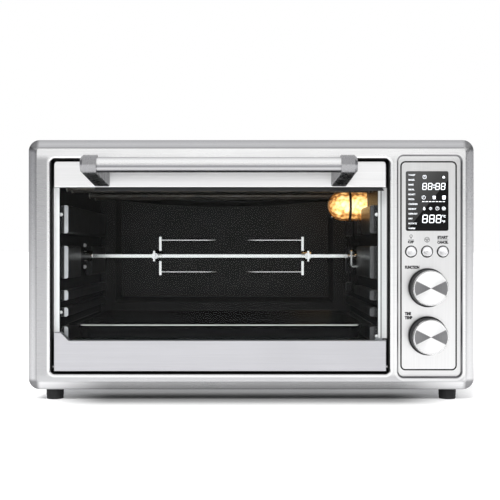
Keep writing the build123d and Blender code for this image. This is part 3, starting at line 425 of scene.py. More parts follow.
@dataclass(frozen=True)
class HandleSteel:
    """Brushed tube with painted reflections and shade: its tone runs in bands by height, from its dark
    underside to its bright upper front.
    """

    name: str = "handle_steel"

    def make(self) -> bpy.types.Material:
        """Build the material."""
        material, tree = new_tree(self.name)
        place = tree.place()
        low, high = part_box("handle_tube")
        height = (tree.axis(place, "Z") - low.z) / (high.z - low.z)
        # Painted reflections and shade, in bands by height.
        tone = tree.node("ShaderNodeValToRGB", {"stops": (
            (0.02, (0.12, 0.12, 0.13)), (0.10, (0.26, 0.26, 0.27)), (0.20, (0.58, 0.58, 0.59)),
            (0.29, (0.34, 0.34, 0.35)), (0.37, (0.13, 0.13, 0.14)), (0.45, (0.42, 0.42, 0.43)),
            (0.54, (0.88, 0.88, 0.88)), (0.64, (0.99, 0.99, 0.99)), (0.76, (0.98, 0.98, 0.98)),
            (0.86, (0.80, 0.80, 0.80)), (0.94, (0.50, 0.50, 0.51)), (1.0, (0.30, 0.30, 0.31)))}, height)
        marks = tree.noise(tree.scaled(place, Grain.ACROSS.value), 1500.0, 3.0, 0.6)
        tree.surface(principled(
            tree, Base_Color=tree.mix((marks - 0.3).clamped() * 0.5, tone, (0.45, 0.45, 0.46)), Metallic=1.0,
            Roughness=marks * 0.15 + 0.2, Anisotropic=0.3, Normal=tree.bump(marks, 0.3, 0.00001),
        ))
        return material


@dataclass(frozen=True)
class PlateSteel:
    """Bright steel strip with a painted glow inside the door's window, painted shade outside it where it lies
    behind the gap of the door, painted shade on its right-hand strip and a painted dark line at its fold.
    """

    name: str = "plate_steel"
    colour: Colour = (0.98, 0.98, 0.98)
    window: tuple[float, float, float, float] = (-221.0 * MM, 151.5 * MM, 66.0 * MM, 230.5 * MM)

    def make(self) -> bpy.types.Material:
        """Build the material."""
        material, tree = new_tree(self.name)
        place = tree.place()
        left, right, foot, top = self.window
        across, up = tree.axis(place, "X"), tree.axis(place, "Z")
        edge = 0.3 * MM
        # Inside the door's window; outside it the strip is painted black as shade.
        inside = (across.step(left - edge, left + edge) * (1.0 - across.step(right - edge, right + edge))
                  * up.step(foot - edge, foot + edge) * (1.0 - up.step(top - edge, top + edge)))
        marks = tree.noise(tree.scaled(place, Grain.UPRIGHT.value), 900.0, 3.0)
        bright = tree.mix(marks, tuple(c * 0.92 for c in self.colour), self.colour)
        # Painted shade on the right-hand strip.
        bright = tree.mix(across.step(0.0, 10 * MM) * 0.30, bright, (0.0, 0.0, 0.0))
        # Painted dark line at the fold.
        painted_fold_shade = 1.0 - abs(across - 142.2 * MM).step(0.3 * MM, 1.1 * MM)
        bright = tree.mix(painted_fold_shade * 0.8, bright, (0.05, 0.05, 0.05))
        # Emission gives the strip inside the window a painted glow.
        tree.surface(principled(
            tree, Base_Color=tree.mix(inside, (0.006, 0.006, 0.006), bright), Metallic=inside * 0.08,
            Roughness=marks * 0.1 + 0.4, Emission_Color=tree.mix(inside, (0.0, 0.0, 0.0), bright),
            Emission_Strength=0.28, Normal=tree.bump(marks, 0.1, 0.00002),
        ))
        return material


@dataclass(frozen=True)
class BrightMetal:
    """Plated or polished metal with faint handling marks."""

    name: str
    colour: Colour = (0.72, 0.72, 0.73)
    roughness: float = 0.14

    def make(self) -> bpy.types.Material:
        """Build the material."""
        material, tree = new_tree(self.name)
        haze = tree.noise(tree.place(), 120.0, 3.0)
        tree.surface(principled(
            tree, Base_Color=tree.mix(haze, tuple(c * 0.9 for c in self.colour), self.colour), Metallic=1.0,
            Roughness=self.roughness + haze * 0.12,
            Normal=tree.bump(haze, 0.08, 0.0001),
        ))
        return material


@dataclass(frozen=True)
class ZincSheet:
    """Galvanised sheet with soft crystal spangle."""

    name: str = "zinc_sheet"

    def make(self) -> bpy.types.Material:
        """Build the material."""
        material, tree = new_tree(self.name)
        place = tree.place()
        crystal = tree.node("ShaderNodeTexVoronoi", None, Vector=place, Scale=110.0, out="Color")
        spangle = tree.axis(crystal, "X")
        tree.surface(principled(
            tree, Base_Color=tree.mix(spangle, (0.42, 0.43, 0.45), (0.66, 0.67, 0.69)), Metallic=1.0,
            Roughness=spangle * 0.15 + 0.34,
            Normal=tree.bump(tree.noise(place, 300.0), 0.05, 0.0001),
        ))
        return material


@dataclass(frozen=True)
class CoatedSteel:
    """Steel under a dark baked coating, with fine orange peel."""

    name: str
    colour: Colour
    roughness: float = 0.32
    metallic: float = 0.0
    peel: float = 0.12
    shine: float = 0.5

    def make(self) -> bpy.types.Material:
        """Build the material."""
        material, tree = new_tree(self.name)
        place = tree.place()
        peel = tree.noise(place, 900.0, 2.0)
        haze = tree.noise(place, 14.0, 3.0)
        light = tuple(min(1.0, c * 1.6 + 0.006) for c in self.colour)
        tree.surface(principled(
            tree, Base_Color=tree.mix(haze.step(0.35, 0.8), self.colour, light), Metallic=self.metallic,
            Roughness=self.roughness + haze * 0.1 + peel * 0.05, Specular_IOR_Level=self.shine,
            Normal=tree.bump(peel, self.peel, 0.0001),
        ))
        return material


@dataclass(frozen=True)
class GuideSteel:
    """Coated sheet whose bare front ends carry a painted highlight, painted darker on the right-hand guides.
    """

    name: str = "guide_coat"
    bare_from: float = -127.2 * MM

    def make(self) -> bpy.types.Material:
        """Build the material."""
        material, tree = new_tree(self.name)
        place = tree.place()
        haze = tree.noise(place, 60.0, 3.0)
        low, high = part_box("rack_guides")
        from_wall = (high.x - low.x) / 2 - abs(tree.axis(place, "X") - (high.x + low.x) / 2)
        # Painted highlight on the bare front ends.
        bare_end_highlight = (1.0 - tree.axis(place, "Y").step(self.bare_from - 0.2 * MM, self.bare_from + 0.5 * MM)
                ) * from_wall.step(3.2 * MM, 4.2 * MM)
        # Painted shade on the right-hand guides' ends.
        bare_end_highlight = bare_end_highlight * (1.0 - tree.axis(place, "X").step(0.0, 10 * MM) * 0.88)
        coat = tree.mix(haze, (0.006, 0.006, 0.007), (0.016, 0.016, 0.017))
        tree.surface(principled(
            tree, Base_Color=tree.mix(bare_end_highlight * (0.55 + haze * 0.6).clamped(), coat, (0.62, 0.62, 0.64)),
            Metallic=bare_end_highlight * 0.3, Roughness=0.26 + haze * 0.12, Specular_IOR_Level=0.35,
            Normal=tree.bump(haze, 0.05, 0.0002),
        ))
        return material


@dataclass(frozen=True)
class TrayEnamel:
    """Dark glossy enamel with a painted highlight along the top of the rim."""

    name: str = "tray_enamel"
    rim_highlight_band: float = 1.6 * MM

    def make(self) -> bpy.types.Material:
        """Build the material."""
        material, tree = new_tree(self.name)
        place = tree.place()
        haze = tree.noise(place, 30.0, 3.0)
        low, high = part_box("food_tray")
        inset = [(high[k] - low[k]) / 2 - abs(tree.axis(place, name) - (high[k] + low[k]) / 2)
                 for k, name in enumerate("XY")]
        edge = 1.0 - inset[0].at_most(inset[1]).step(0.9 * MM, 1.5 * MM)
        # Painted highlight along the top of the rim.
        height = tree.axis(place, "Z").step(high.z - self.rim_highlight_band, high.z - self.rim_highlight_band * 0.6)
        brush_wear_and_rim_highlight = (height * edge * (0.5 + haze)).clamped()
        enamel = tree.mix(haze, (0.005, 0.005, 0.006), (0.010, 0.010, 0.011))
        tree.surface(principled(
            tree, Base_Color=tree.mix(brush_wear_and_rim_highlight, enamel, (0.85, 0.84, 0.80)),
            Metallic=brush_wear_and_rim_highlight * 0.2, Roughness=0.14 + haze * 0.1, Specular_IOR_Level=0.35,
            Normal=tree.bump(haze, 0.04, 0.0002),
        ))
        return material


@dataclass(frozen=True)
class Moulding:
    """Moulded plastic or rubber with a fine spark-eroded grain."""

    name: str
    colour: Colour = (0.012, 0.012, 0.013)
    roughness: float = 0.5
    grain: float = 0.25
    shine: float = 0.3

    def make(self) -> bpy.types.Material:
        """Build the material."""
        material, tree = new_tree(self.name)
        place = tree.place()
        grain = tree.noise(place, 1400.0, 2.0)
        dust = tree.noise(place, 40.0, 3.0)
        dusty = tuple(c * 2 + 0.01 for c in self.colour)
        tree.surface(principled(
            tree, Base_Color=tree.mix(dust.step(0.5, 0.9) * 0.5, self.colour, dusty),
            Roughness=self.roughness + dust * 0.12, Specular_IOR_Level=self.shine,
            Normal=tree.bump(grain, self.grain, 0.0001),
        ))
        return material


@dataclass(frozen=True)
class HeaterSheath:
    """Oxidised steel sheath of a heating rod, mottled straw and blue-grey from its heat."""

    name: str = "heater_sheath"

    def make(self) -> bpy.types.Material:
        """Build the material."""
        material, tree = new_tree(self.name)
        mottle = tree.noise(tree.scaled(tree.place(), (0.3, 1.0, 1.0)), 160.0, 4.0, 0.65)
        colour = tree.node("ShaderNodeValToRGB", {"stops": (
            (0.3, (0.05, 0.05, 0.055)), (0.55, (0.11, 0.095, 0.08)), (0.75, (0.16, 0.15, 0.15)))}, mottle)
        tree.surface(principled(
            tree, Base_Color=colour, Metallic=0.7, Roughness=mottle * 0.3 + 0.3,
            Normal=tree.bump(mottle, 0.2, 0.0002),
        ))
        return material


@dataclass(frozen=True)
class Ceramic:
    """Unglazed white ceramic with a fine pitted face."""

    name: str = "white_ceramic"
    low: Colour = (0.16, 0.15, 0.14)
    high: Colour = (0.30, 0.29, 0.27)

    def make(self) -> bpy.types.Material:
        """Build the material."""
        material, tree = new_tree(self.name)
        pits = tree.noise(tree.place(), 700.0, 3.0)
        tree.surface(principled(
            tree, Base_Color=tree.mix(pits, self.low, self.high),
            Roughness=pits * 0.2 + 0.55, Normal=tree.bump(pits, 0.2, 0.0002),
        ))
        return material


@dataclass(frozen=True)
class ClearGlass:
    """A thin sheet of glass: see-through, with a faint mirror on its faces."""

    name: str
    tint: Colour = (0.97, 0.98, 0.98)
    mirror: float = 0.1
    roughness: float = 0.02

    def make(self) -> bpy.types.Material:
        """Build the material."""
        material, tree = new_tree(self.name)
        haze_and_painted_glare = tree.noise(tree.place(), 22.0, 2.0)
        clear = tree.node("ShaderNodeBsdfTransparent", None, Color=self.tint)
        shine = tree.node("ShaderNodeBsdfAnisotropic", None, Color=(1.0, 1.0, 1.0),
                          Roughness=haze_and_painted_glare * 0.05 + self.roughness)
        facing = tree.node("ShaderNodeFresnel", None, IOR=1.45)
        tree.surface(tree.node("ShaderNodeMixShader", None, facing * self.mirror, clear, shine))
        return material


@dataclass(frozen=True)
class LampGlass:
    """The lamp's ribbed cup, lit from inside: nearly white in the middle and amber at its rim."""

    name: str = "lamp_glass"
    centre: Colour = (1.0, 0.86, 0.52)
    edge: Colour = (0.05, 0.02, 0.006)
    glow: float = 1.5

    def make(self) -> bpy.types.Material:
        """Build the material."""
        material, tree = new_tree(self.name)
        slant = tree.node("ShaderNodeLayerWeight", None, Blend=0.5, out="Facing")
        place = tree.place()
        swirl = tree.noise(place, 130.0, 4.0, 0.65)
        cells = tree.node("ShaderNodeTexVoronoi", None, Vector=place, Scale=210.0)
        depth = (slant * 0.9 + (swirl - 0.5) * 1.1 + (cells - 0.35) * 0.5).clamped()
        amber = tree.node("ShaderNodeValToRGB", {"stops": (
            (0.0, self.centre), (0.24, (0.90, 0.52, 0.17)), (0.46, (0.34, 0.14, 0.035)),
            (0.75, self.edge))}, depth)
        body = principled(tree, Base_Color=amber, Roughness=0.06, Emission_Color=amber,
                          Emission_Strength=self.glow, Normal=tree.bump(swirl, 0.5, 0.001))
        clear = tree.node("ShaderNodeBsdfTransparent", None, Color=(1.0, 0.9, 0.75))
        tree.surface(tree.node("ShaderNodeMixShader", None, (depth * 0.8 + 0.45).clamped(), clear, body))
        return material


@dataclass(frozen=True)
class Glow:
    """A lit surface."""

    name: str
    colour: Colour
    strength: float

    def make(self) -> bpy.types.Material:
        """Build the material."""
        material, tree = new_tree(self.name)
        flicker = tree.noise(tree.place(), 800.0, 1.0)
        lit = tree.mix(flicker * 0.3, self.colour, tuple(c * 0.85 for c in self.colour))
        tree.surface(principled(tree, Base_Color=lit, Roughness=0.4, Emission_Color=lit,
                                Emission_Strength=self.strength))
        return material


@dataclass(frozen=True)
class DisplayGlass:
    """The display's black window, with a paler painted reflection over its upper left half."""

    name: str = "display_black"

    def make(self) -> bpy.types.Material:
        """Build the material."""
        material, tree = new_tree(self.name)
        place = tree.place()
        mask = tree.noise(place, 2500.0, 1.0)
        low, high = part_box("display_window")
        across = (tree.axis(place, "X") - low.x) / (high.x - low.x)
        up = (tree.axis(place, "Z") - low.z) / (high.z - low.z)
        # Painted reflection, paler over the upper left half.
        haze_and_painted_glare = (up * 1.15 - across + 0.02).step(0.0, 0.02) * 0.5 + (up * 1.15 - across).step(0.0, 0.9) * 0.5
        black = tree.mix(mask, (0.002, 0.002, 0.002), (0.004, 0.004, 0.005))
        tree.surface(principled(
            tree, Base_Color=tree.mix(haze_and_painted_glare, black, (0.065, 0.065, 0.065)), Roughness=0.12,
            Specular_IOR_Level=0.12,
        ))
        return material


@dataclass(frozen=True)
class TurnedFace:
    """Metal turned in circles about the piece's own Z axis, with painted reflections: two darker sectors to
    its sides.
    """

    name: str = "turned_face"
    colour: Colour = (0.98, 0.98, 0.98)
    reflection_sector_slope: float = 0.5

    def make(self) -> bpy.types.Material:
        """Build the material."""
        material, tree = new_tree(self.name)
        place = tree.place()
        radius = tree.node("ShaderNodeVectorMath", {"operation": "LENGTH"},
                           tree.scaled(place, (1.0, 1.0, 0.0)), out="Value")
        ring = tree.node("ShaderNodeCombineXYZ", None, radius, 0.0, 0.0)
        rings = tree.noise(ring, 2600.0, 3.0, 0.7)
        # Painted reflection: two darker sectors to the sides, darker towards the middle.
        slope = abs(tree.axis(place, "Y")) - abs(tree.axis(place, "X")) * self.reflection_sector_slope
        painted_reflection_sector = 1.0 - (slope / radius.at_least(0.2 * MM)).step(-0.05, 0.05)
        bright = tree.mix(rings, tuple(c * 0.90 for c in self.colour), self.colour)
        dark = tree.mix((rings - 0.3) * 2.2 + (radius * 22.0 - 0.2), (0.13, 0.13, 0.135), (0.34, 0.34, 0.345))
        tree.surface(principled(
            tree, Base_Color=tree.mix(painted_reflection_sector, bright, dark), Metallic=1.0,
            Roughness=rings * 0.06 + 0.36, Anisotropic=0.9, Anisotropic_Rotation=0.25,
            Normal=tree.bump(rings, 0.12, 0.00002),
        ))
        return material


@dataclass(frozen=True)
class Ink:
    """Screen-printed ink."""

    name: str
    colour: Colour = (0.012, 0.012, 0.013)

    def make(self) -> bpy.types.Material:
        """Build the material."""
        material, tree = new_tree(self.name)
        specks = tree.noise(tree.place(), 3000.0, 2.0)
        tree.surface(principled(
            tree, Base_Color=tree.mix(specks * 0.4, self.colour, tuple(c * 1.8 + 0.02 for c in self.colour)),
            Roughness=0.55 + specks * 0.1,
        ))
        return material


@dataclass(frozen=True)
class CircuitBoard:
    """Green solder mask over copper tracks."""

    name: str = "circuit_board"

    def make(self) -> bpy.types.Material:
        """Build the material."""
        material, tree = new_tree(self.name)
        tracks = tree.node("ShaderNodeTexVoronoi", {"distance": "MANHATTAN"}, Vector=tree.place(),
                           Scale=260.0)
        tree.surface(principled(
            tree, Base_Color=tree.mix(tracks.step(0.35, 0.45), (0.01, 0.10, 0.04), (0.02, 0.20, 0.08)),
            Roughness=0.4 + tracks * 0.1,
        ))
        return material


# --- Making and placing pieces ------------------------------------------------------------------
def piece(name: str, mesh_maker: bmesh.types.BMesh, materials: Sequence[bpy.types.Material],
          smooth: bool = True) -> bpy.types.Object:
    """Turn a finished bmesh into an object in the scene.

    Args:
        name: The piece's name.
        mesh_maker: Its geometry, which is freed.
        materials: Its materials, in the order of the faces' indices.
        smooth: Whether its faces are shaded smooth.

    Returns:
        The object.
    """
    bmesh.ops.recalc_face_normals(mesh_maker, faces=mesh_maker.faces[:])
    mesh = bpy.data.meshes.new(name)
    mesh_maker.to_mesh(mesh)
    mesh_maker.free()
    for material in materials:
        mesh.materials.append(material)
    made = bpy.data.objects.new(name, mesh)
    bpy.context.scene.collection.objects.link(made)
    if smooth:
        mesh.shade_smooth()
        mesh.set_sharp_from_angle(angle=math.radians(32))
    return made


def install(made: bpy.types.Object, body: str, replaced: Sequence[str] = ()) -> None:
    """Fix a piece to its body and report it.

    Args:
        made: The piece.
        body: The CAD body that it moves with.
        replaced: CAD nodes that it is shown in place of.
    """
    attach(made, body)
    if replaced:
        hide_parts(*replaced)
    log.info("%s rides on %s", made.name, body)


def dress(nodes: dict[str, bpy.types.Object], names: Iterable[str], finish: Any) -> None:
    """Give CAD nodes a finish.

    Args:
        nodes: The CAD nodes by name.
        names: Which of them to dress.
        finish: The finish.
    """
    material = finish.make()
    for name in names:
        node = nodes[name]
        if not node.material_slots:
            node.data.materials.append(material)
        for slot in node.material_slots:
            slot.material = material
        log.info("%s is finished in %s", name, material.name)


def lathe(profile: Sequence[Point2], ribs: int = 96, flute: Callable[[float, float], float] | None = None,
          band: Callable[[float, float], int] | None = None) -> bmesh.types.BMesh:
    """Turn a profile about the Z axis.

    Args:
        profile: (radius, height) points from one end of the axis to the other.
        ribs: How many steps go round.
        flute: Scales the radius, from the angle and the height.
        band: Gives each face its material index, from its mean radius and height.

    Returns:
        The turned shape, closed at points where the radius is 0.
    """
    shape = bmesh.new()
    rings: list[list[bmesh.types.BMVert]] = []
    for radius, height in profile:
        if radius < 1e-7:
            rings.append([shape.verts.new((0.0, 0.0, height))])
            continue
        ring = []
        for step in range(ribs):
            angle = math.tau * step / ribs
            reach = radius * (flute(angle, height) if flute else 1.0)
            ring.append(shape.verts.new((reach * math.cos(angle), reach * math.sin(angle), height)))
        rings.append(ring)
    for (low, high), (start, end) in zip(zip(rings, rings[1:]), zip(profile, profile[1:])):
        for step in range(ribs):
            after = (step + 1) % ribs
            corners = [low[step % len(low)], low[after % len(low)],
                       high[after % len(high)], high[step % len(high)]]
            face = shape.faces.new(list(dict.fromkeys(corners)))
            if band:
                face.material_index = band((start[0] + end[0]) / 2, (start[1] + end[1]) / 2)
    return shape


def stroke(shape: bmesh.types.BMesh, outline: Sequence[Point2], thickness: float, at: Point2 = (0.0, 0.0),
           slant: float = 0.0) -> None:
    """Add a flat plate with a polygon's outline to a drawing.

    Args:
        shape: The drawing, whose X and Y are across and up, and whose plates rise along Z.
        outline: The polygon's corners.
        thickness: How far the plate stands up.
        at: Where the outline's origin is placed.
        slant: How far the plate leans over per unit of height, as italics do.
    """
    spots = [(x + at[0] + y * slant, y + at[1]) for x, y in outline]
    low, high = ([shape.verts.new((x, y, z)) for x, y in spots] for z in (0.0, thickness))
    shape.faces.new(high)
    shape.faces.new(low[::-1])
    for index in range(len(spots)):
        after = (index + 1) % len(spots)
        shape.faces.new((low[index], low[after], high[after], high[index]))


def ring_band(shape: bmesh.types.BMesh, centre: Point2, inner: float, outer: float, thickness: float,
              start: float = 0.0, sweep: float = 360.0, steps: int = 32) -> None:
    """Add a flat ring, or part of one, to a drawing.

    Args:
        shape: The drawing.
        centre: The ring's centre.
        inner: Its inner radius.
        outer: Its outer radius.
        thickness: How far it stands up.
        start: Where it starts, in degrees from +X.
        sweep: How far it goes round, in degrees.
        steps: How many straight pieces it is made of.
    """
    for step in range(steps):
        a, b = (math.radians(start + sweep * (step + side) / steps) for side in (0, 1))
        corners = [(inner * math.cos(a), inner * math.sin(a)), (outer * math.cos(a), outer * math.sin(a)),
                   (outer * math.cos(b), outer * math.sin(b)), (inner * math.cos(b), inner * math.sin(b))]
        stroke(shape, corners, thickness, centre)


def bar(width: float, height: float) -> list[Point2]:
    """Give a rectangle's corners about its centre."""
    across, up = width / 2, height / 2
    return [(-across, -up), (across, -up), (across, up), (-across, up)]


def facing_user(origin: Vector) -> Matrix:
    """Give the placement of a drawing that faces the user, from where its own origin goes."""
    turn = Matrix(((1, 0, 0), (0, 0, -1), (0, 1, 0))).to_4x4()
    return Matrix.Translation(origin) @ turn


def lettering(text: str, size: float, thickness: float, boldness: float,
              width: float | None = None) -> bmesh.types.BMesh:
    """Draw a word in plain capitals.

    Args:
        text: The word.
        size: The height of its letters.
        thickness: How far they stand up.
        boldness: How far their edges move out, as a share of their height.
        width: The whole word's width, or its natural width.

    Returns:
        The word as a drawing, from its left end.
    """
    curve = bpy.data.curves.new("lettering", "FONT")
    curve.body = text
    curve.size = size / CAPITAL_HEIGHT
    curve.extrude = thickness / 2
    curve.offset = size * boldness
    curve.resolution_u = 3
    carrier = bpy.data.objects.new("lettering", curve)
    bpy.context.scene.collection.objects.link(carrier)
    mesh = bpy.data.meshes.new_from_object(carrier.evaluated_get(bpy.context.evaluated_depsgraph_get()))
    shape = bmesh.new()
    shape.from_mesh(mesh)
    if width:
        left, right = (pick(vert.co.x for vert in shape.verts) for pick in (min, max))
        bmesh.ops.scale(shape, verts=shape.verts[:], vec=(width / (right - left), 1.0, 1.0))
    bpy.data.objects.remove(carrier)
    bpy.data.curves.remove(curve)
    bpy.data.meshes.remove(mesh)
    return shape


def soften(made: bpy.types.Object, width: float) -> None:
    """Round a piece's sharp edges a little.

    Args:
        made: The piece.
        width: The width of the rounding.
    """
    bevel = made.modifiers.new("soften", "BEVEL")
    bevel.width = width
    bevel.segments = 2
    bevel.limit_method = "ANGLE"


def join_drawing(target: bmesh.types.BMesh, source: bmesh.types.BMesh, at: Point2) -> None:
    """Move a drawing into another one and free it.

    Args:
        target: The drawing that grows.
        source: The drawing that is moved in.
        at: Where the source's origin goes.
    """
    bmesh.ops.translate(source, verts=source.verts[:], vec=(*at, 0.0))
    mesh = bpy.data.meshes.new("joined")
    source.to_mesh(mesh)
    source.free()
    target.from_mesh(mesh)
    bpy.data.meshes.remove(mesh)


# --- The oven's sub-assemblies ------------------------------------------------------------------
@dataclass
class Casing:
    """The front frame, the outer casing and what it stands on."""

    nodes: dict[str, bpy.types.Object]

    def build(self) -> None:
        """Dress the casing."""
        dress(self.nodes, ["front_frame"], PressedFrame())
        dress(self.nodes, ["outer_shell", "back_panel"],
              BrushedMetal("casing_steel", (0.56, 0.56, 0.57), Grain.DEEP, roughness=0.36))
        dress(self.nodes, ["face_plate"], PlateSteel())
        dress(self.nodes, ["base_plate", "hinge_brackets", "fan_housing", "fan_blades"], ZincSheet())
        dress(self.nodes, ["feet", "rear_bumpers"], Moulding("black_rubber", roughness=0.6))
        dress(self.nodes, ["cord_gland"], Moulding("gland_plastic", roughness=0.42))
        dress(self.nodes, ["case_screws"], BrightMetal("plated_screws"))


@dataclass
class DoorSurround:
    """The black seal that lines the opening round the door, clear of the door's swing."""

    opening: tuple[float, float, float, float] = (-216.9 * MM, 149.5 * MM, 28.6 * MM, 261.3 * MM)
    width: float = 1.5 * MM
    foot_height: float = 0.6 * MM
    front: float = -151.6 * MM
    depth: float = 12.0 * MM

    def build(self) -> None:
        """Make the seal."""
        left, right, foot, top = self.opening
        ring = bmesh.new()
        inner_left, inner_right = left + self.width, right - self.width
        for (x0, x1), (z0, z1) in (((left, inner_left), (foot, top)), ((inner_right, right), (foot, top)),
                                   ((inner_left, inner_right), (foot, foot + self.foot_height)),
                                   ((inner_left, inner_right), (top - self.width, top))):
            stroke(ring, [(x0, z0), (x1, z0), (x1, z1), (x0, z1)], self.depth)
        rubber = Moulding("surround_rubber", (0.004, 0.004, 0.004), shine=0.08).make()
        seal = piece("door_surround_seal", ring, [rubber], smooth=False)
        seal.matrix_world = facing_user(Vector((0.0, self.front + self.depth, 0.0)))
        soften(seal, 0.25 * MM)
        install(seal, "oven")


@dataclass
class Cavity:
    """The coated cooking cavity with its heaters and guides."""

    nodes: dict[str, bpy.types.Object]
    left_rivets: tuple[Spot, ...] = (
        (-0.132, 0.2015, 0.0021), (-0.132, 0.094, 0.0018), (0.02, 0.1415, 0.0024), (0.02, 0.1685, 0.0024))
    right_rivets: tuple[Spot, ...] = (
        (-0.132, 0.2015, 0.0021), (-0.132, 0.0675, 0.0021), (0.042, 0.2365, 0.0018))

    def build(self) -> None:
        """Dress the cavity."""
        dress(self.nodes, ["cavity_left_wall", "cavity_right_wall", "cavity_ceiling", "cavity_floor"],
              CoatedSteel("cavity_coat", (0.003, 0.003, 0.004), 0.36, peel=0.004, shine=0.05))
        # The back wall gets a lighter, shinier copy of the cavity coat: painted light.
        dress(self.nodes, ["cavity_back_wall"],
              CoatedSteel("bulge_coat", (0.009, 0.009, 0.0095), 0.3, peel=0.004, shine=0.22))
        dress(self.nodes, ["rack_guides"], GuideSteel())
        dress(self.nodes, ["heating_elements"], HeaterSheath())
        dress(self.nodes, ["heater_bushings", "lamp_socket"], Ceramic())
        self._rivets()
        dress(self.nodes, ["temperature_probe"], BrightMetal("probe_steel", (0.60, 0.60, 0.60)))
        dress(self.nodes, ["fan_motor", "rotisserie_motor"],
              CoatedSteel("motor_can", (0.05, 0.05, 0.055), 0.45))
        dress(self.nodes, ["fan_shaft"], BrightMetal("motor_shaft"))
        dress(self.nodes, ["food_tray"], TrayEnamel())
        dress(self.nodes, ["crumb_tray"], ZincSheet("crumb_zinc"))

    def _rivets(self) -> None:
        """Set domed heads on the side walls, in place of the plain rivets."""
        left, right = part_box("cavity_left_wall")[1].x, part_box("cavity_right_wall")[0].x
        heads = bmesh.new()
        for side, wall, spots in ((1, left, self.left_rivets), (-1, right, self.right_rivets)):
            for y, z, radius in spots:
                head = lathe([(0.0, 0.0), (radius, 0.0), (radius, radius * 0.4), (radius * 0.85, radius),
                              (radius * 0.5, radius * 1.35), (0.0, radius * 1.45)], 24)
                turn = Matrix.Rotation(math.radians(90 * side), 4, "Y")
                bmesh.ops.transform(head, verts=head.verts[:], matrix=Matrix.Translation((wall, y, z)) @ turn)
                join_drawing(heads, head, (0.0, 0.0))
        coat = Ceramic("rivet_heads", (0.75, 0.75, 0.76), (0.97, 0.97, 0.97)).make()
        install(piece("domed_rivets", heads, [coat]), "oven", ["cavity_rivets"])


@dataclass
class LampUnit:
    """The cavity lamp: a ribbed glass cup over a lit bulb."""

    nodes: dict[str, bpy.types.Object]
    ribs: int = 14
    rib_depth: float = 0.035
    glow_power: float = 0.014

    def build(self) -> None:
        """Shape the cup, dress the bulb and light it."""
        low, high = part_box("lamp_lens")
        radius = (high.y - low.y) / 2
        length = high.x - low.x
        wall = 2.0 * MM
        nose = length - radius
        outside = [(radius * math.cos(t), nose + radius * math.sin(t)) for t in self._quarter()]
        inside = [(r - wall, h) for r, h in ((radius * math.cos(t), nose + (radius - wall) * math.sin(t))
                                             for t in reversed(self._quarter())) if r > wall]
        collar = [(radius, nose * k / 6) for k in range(6)]
        profile = [(radius - wall, 0.0), *collar, *outside]
        cup = lathe(profile, ribs=144, flute=self._flute(nose))
        inner = lathe([(0.0, length - wall), *inside, (radius - wall, 0.0)], ribs=144)
        join_drawing(cup, inner, (0.0, 0.0))
        lens = piece("lamp_cup", cup, [LampGlass().make()])
        lens.matrix_world = (Matrix.Translation((high.x, (low.y + high.y) / 2, (low.z + high.z) / 2))
                             @ Matrix.Rotation(math.radians(-90), 4, "Y"))
        lens.visible_diffuse = False
        install(lens, "oven", ["lamp_lens"])
        dress(self.nodes, ["lamp_ring"], CoatedSteel("lamp_ring_steel", (0.05, 0.04, 0.03), 0.3, 0.8))
        dress(self.nodes, ["lamp_bulb"], Glow("bulb_glow", (1.0, 0.74, 0.38), 4.0))
        light = bpy.data.lights.new("lamp_light", "POINT")
        light.energy = self.glow_power
        light.color = (1.0, 0.62, 0.28)
        light.shadow_soft_size = radius
        lamp = bpy.data.objects.new("lamp_light", light)
        lamp.location = (low.x - radius * 0.4, (low.y + high.y) / 2, (low.z + high.z) / 2)
        bpy.context.scene.collection.objects.link(lamp)

    @staticmethod
    def _quarter(steps: int = 14) -> list[float]:
        """Give the angles of a quarter turn, from the cup's side to its nose."""
        return [math.pi / 2 * step / steps for step in range(steps + 1)]

    def _flute(self, nose: float) -> Callable[[float, float], float]:
        """Give the ribs' scale of the radius, which fades out towards the collar."""
        def scale(angle: float, height: float) -> float:
            """Scale the radius at one angle and height."""
            fade = min(1.0, max(0.0, height / nose))
            return 1.0 - self.rib_depth * fade * (0.5 - 0.5 * math.cos(angle * self.ribs))
        return scale


@dataclass
class Rotisserie:
    """The spit with its forks, its drive and its rest."""

    nodes: dict[str, bpy.types.Object]

    def build(self) -> None:
        """Dress the rotisserie."""
        dress(self.nodes, ["spit_rod", "spit_forks", "spit_socket", "fork_screws", "spit_support"],
              BrightMetal("spit_chrome", (0.82, 0.82, 0.82), 0.16))


